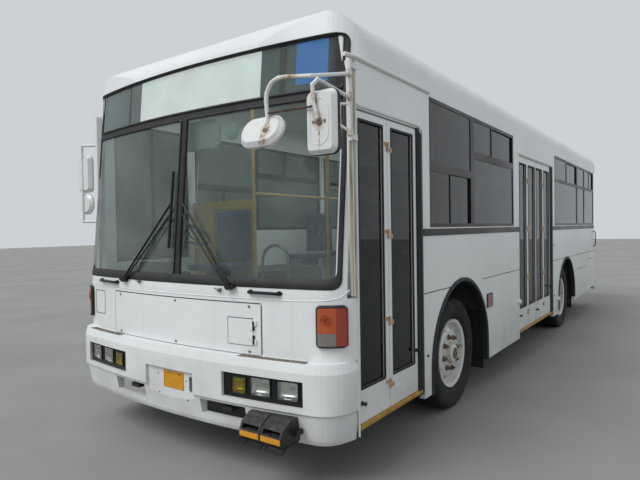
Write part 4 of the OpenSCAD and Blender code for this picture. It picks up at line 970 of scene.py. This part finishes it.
def addChockBars():
    # yellow bars across the chocks' faces, with pressed edges, and the strap between them
    parts = []
    for low, high in chockTrim["bars"]:
        def onBar(x, z, proud):
            x, z, proud = np.broadcast_arrays(*(np.asarray(v, float) for v in (x, z, proud)))
            return np.stack([x, chockTrim["s"] - origin - proud, z], -1)
        parts.append(plateOn(onBar, loopOf(low, high, *chockTrim["z"], 0.003),
                             [(0, -0.001), (0, 0.002), (0.03, 0.003), (0.6, 0.003)]))
    addPiece("chockBars", parts, "chock_yellow")
    path = [[0.911, s - origin, z] for s, z in ((-0.020, 0.336), (-0.033, 0.350), (-0.033, 0.388), (-0.012, 0.436),
                                                 (0.058, 0.478))]
    addPiece("chockStrap", [tubeAlong(path, 0.004, 8)], "chock")


addTurnLampTrims()
addSideMarkers()
addHeadlamps()
addPlateTrims()
addGripStrips()
addChockBars()
print("lamps and bumper fittings added")

nut = {"across": 0.0205, "height": 0.024, "stud": 0.011}


def addWheelFittings(name, side, station, face, axleEnd):
    # hexagon nuts on their washers, studs, a domed centre ring and a valve stem
    steel, caps = [], []
    x0 = side * (wheels["track"] + face)
    for k in range(wheels["bolts"]):
        angle = 2 * math.pi * k / wheels["bolts"] + 0.2
        y = station - origin + wheels["boltCircle"] * math.cos(angle)
        z = wheels["height"] + wheels["boltCircle"] * math.sin(angle)
        steel.append(turned([[-0.002, 0.026], [0.003, 0.025], [0.004, 0.021]], (x0, y, z), (side, 0, 0), 18))
        steel.append(turned([[0.002, nut["across"]], [nut["height"] - 0.003, nut["across"]],
                             [nut["height"], nut["across"] - 0.004]], (x0, y, z), (side, 0, 0), 6, angle))
        steel.append(turned([[nut["height"] - 0.002, nut["stud"]], [nut["height"] + 0.010, nut["stud"]],
                             [nut["height"] + 0.012, nut["stud"] - 0.002]], (x0, y, z), (side, 0, 0), 14))
    addPiece("wheelNuts_" + name, steel, "rusty_steel", name)
    centre = (side * wheels["track"], station - origin, wheels["height"])
    caps.append(turned(axleEnd, centre, (side, 0, 0), 40))
    addPiece("hubRing_" + name, caps, "rusty_steel", name)
    stem = [[side * (wheels["track"] + 0.085 + 0.03 * t), station - origin + 0.245 - 0.02 * t, wheels["height"] + 0.02]
            for t in (0, 0.5, 1)]
    addPiece("valveStem_" + name, [tubeAlong(stem, 0.0055, 8)], "galvanised", name)


def addTyre(name, body, side, station, centres):
    # A tyre turned from its section: bead, ribbed sidewall and four tread grooves. The shoulder
    # dips at even angles, where the lug slots cut into it.
    half = 0.1375
    section = [[-0.098, 0.2985], [-0.112, 0.318], [-0.124, 0.345], [-0.1275, 0.352], [-0.1265, 0.358], [-half, 0.400],
               [-half + 0.001, 0.425], [-half + 0.004, 0.450], [-half + 0.012, 0.464], [-half + 0.022, 0.4750],
               [-half + 0.045, 0.483]]
    for at in (-0.066, -0.024, 0.024, 0.066):
        section += [[at - 0.006, 0.483], [at - 0.0045, 0.470], [at + 0.0045, 0.470], [at + 0.006, 0.483]]
    section += [[-u, r] for u, r in section[10::-1]]
    section = np.array(section)
    sides = 160
    angle = np.linspace(0, 2 * math.pi, sides, endpoint=False)
    parts = []
    for centre in centres:
        radius = np.broadcast_to(section[:, 1], (sides, len(section))).copy()
        across = np.broadcast_to(section[:, 0], (sides, len(section))).copy()
        shoulder = (np.abs(section[:, 0]) > 0.090) & (section[:, 1] > 0.460)
        slots = (np.arange(sides) % 4 == 0)
        radius[np.ix_(slots, shoulder)] -= 0.006
        points = np.stack([side * centre + across, station - origin + radius * np.cos(angle)[:, None],
                           wheels["height"] + radius * np.sin(angle)[:, None]], -1)
        parts.append((points.reshape(-1, 3), gridFaces(sides, len(section), True, True)))
    piece = addPiece("tread_" + name, parts, "tyre", body, 30)
    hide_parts(name)


frontRing = [[0.110, 0.052], [0.137, 0.052], [0.1405, 0.049], [0.1415, 0.040], [0.139, 0.030]]
rearRing = [[0.036, 0.116], [0.046, 0.114], [0.052, 0.104], [0.053, 0.070], [0.058, 0.066], [0.060, 0.0]]
for side, word in ((1, "left"), (-1, "right")):
    addWheelFittings("front_wheel_" + word, side, wheels["front"], wheels["frontFace"], frontRing)
    addWheelFittings("rear_wheel_" + word, side, wheels["rear"], wheels["rearFace"], rearRing)
    addTyre("front_tyre_" + word, "front_wheel_" + word, side, wheels["front"], [wheels["track"]])
    addTyre("rear_tyres_" + word, "rear_wheel_" + word, side, wheels["rear"], [wheels["track"], wheels["inner"]])
print("wheels fitted")

mudFlaps = {"x": (1.02, 1.30), "rows": [[2.800, 0.200, 0.800], [7.262, 0.215, 0.800]], "thick": 0.006}


def addMudFlaps():
    # hanging rubber flaps behind the wheels, curling back a little at the foot
    parts = []
    for side in (1, -1):
        for s, low, high in mudFlaps["rows"]:
            z = np.linspace(low, high, 12)
            curl = 0.02 * ((high - z) / (high - low)) ** 3
            near = [[s + c - origin, h] for c, h in zip(curl, z)]
            far = [[s + c + mudFlaps["thick"] - origin, h] for c, h in zip(curl, z)][::-1]
            first, last = sorted((side * mudFlaps["x"][0], side * mudFlaps["x"][1]))
            parts.append(drawn(near + far, first, last, 0))
    addPiece("mudFlaps", parts, "black_trim")


sideLamps = {"domes": [[3.912, 0.729], [5.983, 0.525]], "buttons": [[5.745, 1.320], [5.760, 0.600], [1.400, 0.620]]}


def addSideLamps():
    # white courtesy lamps beside the middle doorway, and small black buttons
    profile = [[-0.002, 0.034], [0.008, 0.034], [0.016, 0.031], [0.028, 0.022], [0.036, 0.010], [0.038, 0.0]]
    domes = [turned(profile, (1.350, s - origin, z), (1, 0, 0), 24) for s, z in sideLamps["domes"]]
    addPiece("courtesyLamps", domes, "mirror_white")
    buttons = [turned([[-0.001, 0.012], [0.006, 0.011], [0.009, 0.006]], (1.350, s - origin, z), (1, 0, 0), 16)
               for s, z in sideLamps["buttons"]]
    addPiece("sideButtons", buttons, "black_trim")


rearHandle = {"s": 9.235, "z": (1.180, 1.480), "stand": 0.045}


def addRearHandle():
    # bowed grab handle near the left rear corner
    t = np.linspace(0, 1, 15)
    lift = np.minimum(rearHandle["stand"] * np.clip(np.minimum(t, 1 - t) * 7, 0, 1) ** 0.5 - 0.003, 0.034)
    low, high = rearHandle["z"]
    parts = [tubeAlong(onSide(1)(rearHandle["s"], low + (high - low) * t, lift), 0.009, 10)]
    for end in (low, high):
        parts.append(turned([[-0.001, 0.018], [0.005, 0.016], [0.008, 0.010]],
                            at(1.350, rearHandle["s"], end), (1, 0, 0), 14))
    addPiece("rearHandle", parts, "black_metal")


rearTrim = {"lamps": [[1.010, 1.150, 0.640, 0.780], [1.010, 1.150, 0.790, 0.930], [1.010, 1.150, 0.940, 1.040]],
            "window": [-0.950, 0.950, 1.650, 2.450]}


def addRearTrims():
    # bezels round the rear lamps, rubber round the rear window, and the lid's recessed latch
    bezels, rings = [], []
    for side in (1, -1):
        for low, high, bottom, top in rearTrim["lamps"]:
            first, last = sorted((side * low, side * high))
            bezels.append(ringOn(onRear, loopOf(first - 0.008, last + 0.008, bottom - 0.004, top + 0.004, 0.012),
                                 loopOf(first + 0.001, last - 0.001, bottom + 0.001, top - 0.001, 0.010),
                                 [(0, -0.001), (0, 0.020), (0.5, 0.0265), (1, 0.0255), (1, -0.001)]))
            for radius in (0.040, 0.025):
                spot = onRear((first + last) / 2, (bottom + top) / 2, 0.0248)
                rings.append(turned([[0, radius], [0.0015, radius - 0.001], [0.0015, radius - 0.004], [0, radius - 0.005]],
                                    spot, (0, 1, 0), 28))
    addPiece("rearLampBezels", bezels, "black_trim")
    addPiece("rearLampRings", rings, "red_lens")
    low, high, bottom, top = rearTrim["window"]
    rubber = ringOn(onRear, loopOf(low - 0.022, high + 0.022, bottom - 0.022, top + 0.022, 0.050),
                    loopOf(low + 0.016, high - 0.016, bottom + 0.016, top - 0.016, 0.030),
                    [(0, -0.001), (0.1, 0.008), (0.5, 0.012), (0.9, 0.006), (1, -0.004), (1, -0.010)])
    addPiece("rearWindowRubber", [rubber], "black_trim")
    latch = [plateOn(onRear, loopOf(-0.090, 0.090, 0.600, 0.650, 0.014), [(0, 0), (0, 0.003), (0.08, 0.004), (0.5, 0.004)])]
    latch.append(tubeAlong(onRear(np.linspace(-0.055, 0.055, 9), 0.625,
                                  0.004 + 0.020 * np.sin(np.linspace(0, math.pi, 9))), 0.006, 8))
    addPiece("lidLatch", latch, "black_metal", "engine_lid")


mirrors = {"left": [[1.462, -0.096, 2.149, 0.188, 0.326, 0.038], ],
           "right": [[-1.462, 0.344, 2.130, 0.188, 0.326, 0.038], [-1.450, 0.340, 1.860, 0.182, 0.182, 0.090]]}


def addMirrorFaces():
    # silvered glass on the rear faces of the mirrors, in a rubber edge, and the brackets' bolts
    glass, edges = [], []
    for x, s, z, width, height, radius in mirrors["left"] + mirrors["right"]:
        def onMirror(u, v, proud):
            u, v, proud = np.broadcast_arrays(*(np.asarray(k, float) for k in (u, v, proud)))
            return np.stack([x + u, s - origin + proud, z + v], -1)
        loop = loopOf(-width / 2, width / 2, -height / 2, height / 2, radius)
        small = loop * 0.95
        glass.append(plateOn(onMirror, small, [(0, -0.002), (0, 0.002), (0.5, 0.0035), (0.9, 0.004)]))
        edges.append(ringOn(onMirror, loop, small, [(0, -0.002), (0, 0.003), (0.5, 0.005), (1, 0.003), (1, -0.002)]))
    x, s, z, width, height, radius = mirrors["left"][0]
    sides = [loopOf(-width / 2 - grow, width / 2 + grow, -height / 2 - grow, height / 2 + grow, radius + grow)
             for grow in (0.006, 0.002)]
    rim = ringOn(lambda u, v, proud: np.stack([x + u, s - origin - proud + 0 * u, z + v], -1), *sides,
                 [(0, -0.002), (0, 0.017), (0.5, 0.019), (1, 0.017), (1, -0.002)])
    edges.append(rim)
    press = loopOf(-0.057, 0.057, -0.118, 0.118, 0.054, (3, 8))
    press = np.concatenate([press, press[:1]])
    path = np.stack([x + press[:, 0], np.full(len(press), s - 0.0440 - origin), z + press[:, 1]], -1)
    addPiece("mirrorPress", [tubeAlong(path, 0.0025, 8)], "mirror_white")
    addPiece("mirrorStay", [tubeAlong([at(1.108, -0.130, 2.240), at(1.274, -0.144, 2.233), at(1.440, -0.158, 2.226)],
                                      0.0056, 10)], "rusty_dark")
    # the bend of the long arm, drawn smooth
    bend = np.array([[1.269, 2.412], [1.230, 2.417], [1.190, 2.418], [1.160, 2.411], [1.137, 2.398], [1.119, 2.377],
                     [1.105, 2.350], [1.1005, 2.325], [1.100, 2.300]])
    path = np.stack([bend[:, 0], np.full(len(bend), -0.130 - origin), bend[:, 1]], -1)
    addPiece("mirrorArm", [tubeAlong(path, 0.0125, 12)], "mirror_white")
    addPiece("mirrorGlasses", glass, "mirror_glass")
    addPiece("mirrorEdges", edges, "black_trim")
    rust = []
    for x, s, z, dx in ((1.462, -0.142, 2.149, 0.034), (1.110, -0.150, 2.140, 0.030)):
        rust.append(turned([[-0.004, 0.020], [0.004, 0.019], [0.008, 0.012]], (x, s - origin, z), (0, -1, 0), 14))
        for way in (-1, 1):
            rust.append(turned([[-0.006, 0.009], [0.006, 0.009], [0.008, 0.005]], (x + way * dx, s + 0.006 - origin, z),
                               (0, -1, 0), 6))
    addPiece("mirrorBolts", rust, "rusty_steel")


addMudFlaps()
addSideLamps()
addRearHandle()
addRearTrims()
addMirrorFaces()
print("small fittings added")

cab = {"arch": [0.552, 0.570, 0.125, 1.490, 0.822, 0.012], "mirror": [-0.089, 0.283, 2.187, 2.400, 0.300], "round": [0.408, 0.300, 2.288, 0.062],
       "cluster": [-0.940, -0.460, 0.420, 0.560, 1.271]}


def addCabFittings():
    # inside mirrors on their stalks, the instrument hood with its dials, and knobs on the panel
    low, high, bottom, top, s = cab["mirror"]

    def onCab(u, v, proud):
        u, v, proud = np.broadcast_arrays(*(np.asarray(k, float) for k in (u, v, proud)))
        return np.stack([u, s - origin - proud, v], -1)
    shell = plateOn(onCab, loopOf(low, high, bottom, top, 0.040), [(0, -0.020), (0, 0.004), (0.06, 0.012), (0.5, 0.018),
                                                                   (0.85, 0.020)])
    x, rs, rz, radius = cab["round"]
    bowl = turned([[-0.004, radius], [0.006, radius], [0.016, radius * 0.8], [0.024, radius * 0.4], [0.026, 0]],
                  (x, rs - origin, rz), (0, -1, 0), 28)
    stalks = [tubeAlong([[0.100, 0.300 - origin, 2.36], [0.100, 0.315 - origin, 2.43], [0.100, 0.330 - origin, 2.50]],
                        0.008, 8),
              tubeAlong([[x, rs - origin, rz + 0.05], [x, 0.320 - origin, 2.40], [x, 0.330 - origin, 2.50]], 0.007, 8)]
    addPiece("cabMirrors", [shell, bowl] + stalks, "plastic_pale")
    a, b, s0, s1, z = cab["cluster"]
    t = np.linspace(0, math.pi, 13)
    arcY = (s0 + s1) / 2 - (s1 - s0) / 2 * np.cos(t) - origin
    arcZ = z + 0.075 * np.sin(t)
    hood = drawn(np.stack([arcY, arcZ], -1).tolist(), a, b, 0, 4)
    addPiece("instrumentHood", [hood], "plastic_dark")
    dials = [turned([[-0.004, 0.040], [0.006, 0.038], [0.007, 0.032], [0.003, 0.031], [0.003, 0.0]],
                    (x, 0.556 - origin, z + 0.030), (0, 1, 0.35), 24) for x in (-0.78, -0.70, -0.62)]
    addPiece("dials", dials, "galvanised")
    x, s, half, top, foot, radius = cab["arch"]
    t = np.linspace(math.pi, 0, 15)
    bend = [at(x + half * math.cos(k), s, top - half + half * math.sin(k)) for k in t]
    path = [at(x - half, s, h) for h in (foot, 1.0, 1.2)] + bend + [at(x + half, s, h) for h in (1.2, 1.0, foot)]
    addPiece("entryRail", [tubeAlong(path, radius, 12)], "galvanised")
    knobs = [turned([[-0.002, 0.012], [0.014, 0.010], [0.018, 0.006]], (x, 0.400 - origin, 1.181), (0, 0, 1), 12)
             for x in (-0.20, -0.10, 0.0, 0.10, 0.20)]
    addPiece("panelKnobs", knobs, "black_trim")


# Seats: middle, station of the back's rear face, width, floor under it
seatRows = [[-0.700, 1.440, 0.480, 0.820], [-1.060, 3.400, 0.440, 0.820], [-1.060, 4.200, 0.440, 0.820],
            [-1.060, 5.000, 0.440, 0.820], [-1.060, 5.800, 0.440, 0.820], [1.060, 3.650, 0.440, 0.820]] + \
           [[-0.880 + 0.440 * k, 9.330, 0.440, 0.825] for k in range(5)]
pad = {"voxel": 0.013, "pressure": 4.0, "frames": 20, "cap": 0.010, "inset": 0.010}


def swollenPad(size):
    half = np.array(size) / 2 - pad["inset"]
    mesh = bpy.data.meshes.new("padSeed")
    seed = bmesh.new()
    bmesh.ops.create_cube(seed, size=2.0, matrix=Matrix.Diagonal((*half, 1)))
    bmesh.ops.bevel(seed, geom=seed.edges, offset=0.012, segments=3, affect="EDGES")
    seed.to_mesh(mesh)
    seed.free()
    piece = bpy.data.objects.new("padSeed", mesh)
    bpy.context.collection.objects.link(piece)
    bpy.context.view_layer.objects.active = piece
    remesh = piece.modifiers.new("remesh", "REMESH")
    remesh.mode, remesh.voxel_size = "VOXEL", pad["voxel"]
    graph = bpy.context.evaluated_depsgraph_get()
    base = bpy.data.meshes.new_from_object(piece.evaluated_get(graph))
    piece.modifiers.clear()
    piece.data = base
    rest = np.zeros(len(base.vertices) * 3)
    base.vertices.foreach_get("co", rest)
    rest = rest.reshape(-1, 3)
    cloth = piece.modifiers.new("cloth", "CLOTH")
    cloth.settings.use_pressure = True
    cloth.settings.uniform_pressure_force = pad["pressure"]
    cloth.settings.effector_weights.gravity = 0
    cloth.settings.quality = 5
    cloth.point_cache.frame_start, cloth.point_cache.frame_end = 1, pad["frames"]
    for step in range(1, pad["frames"] + 1):
        bpy.context.scene.frame_set(step)
    graph = bpy.context.evaluated_depsgraph_get()
    blown = np.zeros(len(base.vertices) * 3)
    piece.evaluated_get(graph).data.vertices.foreach_get("co", blown)
    blown = blown.reshape(-1, 3)
    move = blown - rest
    length = np.linalg.norm(move, axis=1, keepdims=True)
    blown = rest + move * np.minimum(1, pad["cap"] / np.maximum(length, 1e-9))
    piece.modifiers.clear()
    bpy.context.scene.frame_set(1)
    limit = np.array(size) / 2
    blown = np.clip(blown, -limit, limit)
    faces = [list(polygon.vertices) for polygon in base.polygons]
    bpy.data.objects.remove(piece)
    return blown, faces


def weltRound(width, depth, z, flip):
    # the sewn edge of a pad: a thin tube round its outline
    loop = loopOf(-width / 2 + 0.012, width / 2 - 0.012, -depth / 2 + 0.012, depth / 2 - 0.012, 0.03)
    loop = np.concatenate([loop, loop[:1]])
    points = np.stack([loop[:, 0], loop[:, 1], np.full(len(loop), z)], -1)
    return tubeAlong(points[:, [0, 2, 1]] if flip else points, 0.0035, 6)


def addSeats():
    # padded squabs and backs on pedestals, standing where the plain seats are
    squab = swollenPad((0.430, 0.466, 0.070))
    back = swollenPad((0.430, 0.070, 0.526))
    pads, welts, feet = [], [], []
    for x, s, width, floor in seatRows:
        grow = np.array([width / 0.440, 1, 1])
        low = np.array([x, s - 0.235 - origin, floor + 0.435])
        high = np.array([x, s - 0.035 - origin, floor + 0.735])
        pads += [(squab[0] * grow + low, squab[1]), (back[0] * grow + high, back[1])]
        for (points, faces), spot in ((weltRound(0.430, 0.466, 0.020, False), low), (weltRound(0.430, 0.526, -0.020, True), high)):
            welts.append((points * grow + spot, faces))
        if floor == 0.820:
            foot = [[x - 0.058, floor], [x - 0.040, floor + 0.06], [x - 0.034, floor + 0.30], [x - 0.058, floor + 0.399],
                    [x + 0.058, floor + 0.399], [x + 0.034, floor + 0.30], [x + 0.040, floor + 0.06], [x + 0.058, floor]]
            feet.append(drawn(foot, s - 0.355 - origin, s - 0.125 - origin, 1))
    whole = addPiece("seatPads", pads, "seat_cloth", smooth=60)
    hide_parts("seats")
    addPiece("seatWelts", welts, "black_trim")
    addPiece("seatFeet", feet, "frame_black", bevel=0.004)


addCabFittings()
addSeats()
print("cab and seats added")

studio = {"floor": ["#8f908d", "#878885"], "sky": "#e8ebee", "skyStrength": 0.78, "seen": "#ccd1d6", "sun": 1.9,
          "sunSpread": 0.6, "toSun": (-0.22, -0.62, 0.75)}


def addStudio():
    world = bpy.data.worlds.new("studioSky")
    bpy.context.scene.world = world
    world.use_nodes = True
    tree = world.node_tree
    sky = tree.nodes["Background"]
    sky.inputs[0].default_value = linear(studio["sky"])
    sky.inputs[1].default_value = studio["skyStrength"]
    seen = addNode(tree, "ShaderNodeBackground", {0: linear(studio["seen"]), 1: 1.0})
    rays = addNode(tree, "ShaderNodeLightPath")
    direct = addNode(tree, "ShaderNodeMath", {"operation": "MAXIMUM"}, {0: rays.outputs["Is Camera Ray"],
                                                                      1: rays.outputs["Is Transmission Ray"]})
    shiny = addNode(tree, "ShaderNodeMath", {"operation": "MAXIMUM"}, {0: direct.outputs[0],
                                                                     1: rays.outputs["Is Glossy Ray"]})
    mixed = addNode(tree, "ShaderNodeMixShader", {}, {0: shiny.outputs[0], 1: sky.outputs[0], 2: seen.outputs[0]})
    tree.links.new(mixed.outputs[0], tree.nodes["World Output"].inputs[0])
    mesh = bpy.data.meshes.new("studioFloor")
    mesh.from_pydata([[-60, -60, 0], [60, -60, 0], [60, 60, 0], [-60, 60, 0]], [], [[0, 1, 2, 3]])
    mesh.materials.append(mottled("paleStudioFloor", *studio["floor"], 1.5, 0.9, 0.05, 0.0005))
    floor = bpy.data.objects.new("studioFloor", mesh)
    bpy.context.collection.objects.link(floor)
    sun = bpy.data.lights.new("softKey", "SUN")
    sun.energy, sun.angle = studio["sun"], studio["sunSpread"]
    lamp = bpy.data.objects.new("softKey", sun)
    lamp.rotation_euler = Vector(studio["toSun"]).to_track_quat("Z", "Y").to_euler()
    bpy.context.collection.objects.link(lamp)


cabinLight = {"middle": (0.0, 0.1, 2.90), "size": (1.6, 8.4), "power": 55}


def addCabinLight():
    # soft fill under the ceiling, in place of the daylight that the glass's shadows leave out
    data = bpy.data.lights.new("cabinFill", "AREA")
    data.shape, data.energy = "RECTANGLE", cabinLight["power"]
    data.size, data.size_y = cabinLight["size"]
    lamp = bpy.data.objects.new("cabinFill", data)
    lamp.location = cabinLight["middle"]
    lamp.visible_camera = lamp.visible_glossy = lamp.visible_transmission = False
    bpy.context.collection.objects.link(lamp)


photoCamera = {"x": 3.034, "station": -2.346, "z": 1.600, "yaw": 35.578, "pitch": -1.172, "roll": -0.909,
               "lens": 29.80}


def addCamera():
    # placed by the bus's own lines: yaw to the right side, then pitch, then roll
    yaw, pitch, roll = (math.radians(photoCamera[key]) for key in ("yaw", "pitch", "roll"))
    ahead = Vector((-math.sin(yaw) * math.cos(pitch), math.cos(yaw) * math.cos(pitch), math.sin(pitch)))
    level = Vector((math.cos(yaw), math.sin(yaw), 0))
    above = level.cross(ahead)
    right = math.cos(roll) * level + math.sin(roll) * above
    up = -math.sin(roll) * level + math.cos(roll) * above
    data = bpy.data.cameras.new("photoCamera")
    data.lens, data.sensor_width, data.clip_end = photoCamera["lens"], 36, 300
    camera = bpy.data.objects.new("photoCamera", data)
    turn = Matrix((right, up, -ahead)).transposed().to_4x4()
    spot = (photoCamera["x"], photoCamera["station"] - origin, photoCamera["z"])
    camera.matrix_world = Matrix.Translation(spot) @ turn
    bpy.context.collection.objects.link(camera)
    bpy.context.scene.camera = camera


addStudio()
addCabinLight()
addCamera()
bpy.context.scene.view_settings.view_transform = "Standard"
print("studio and camera set")
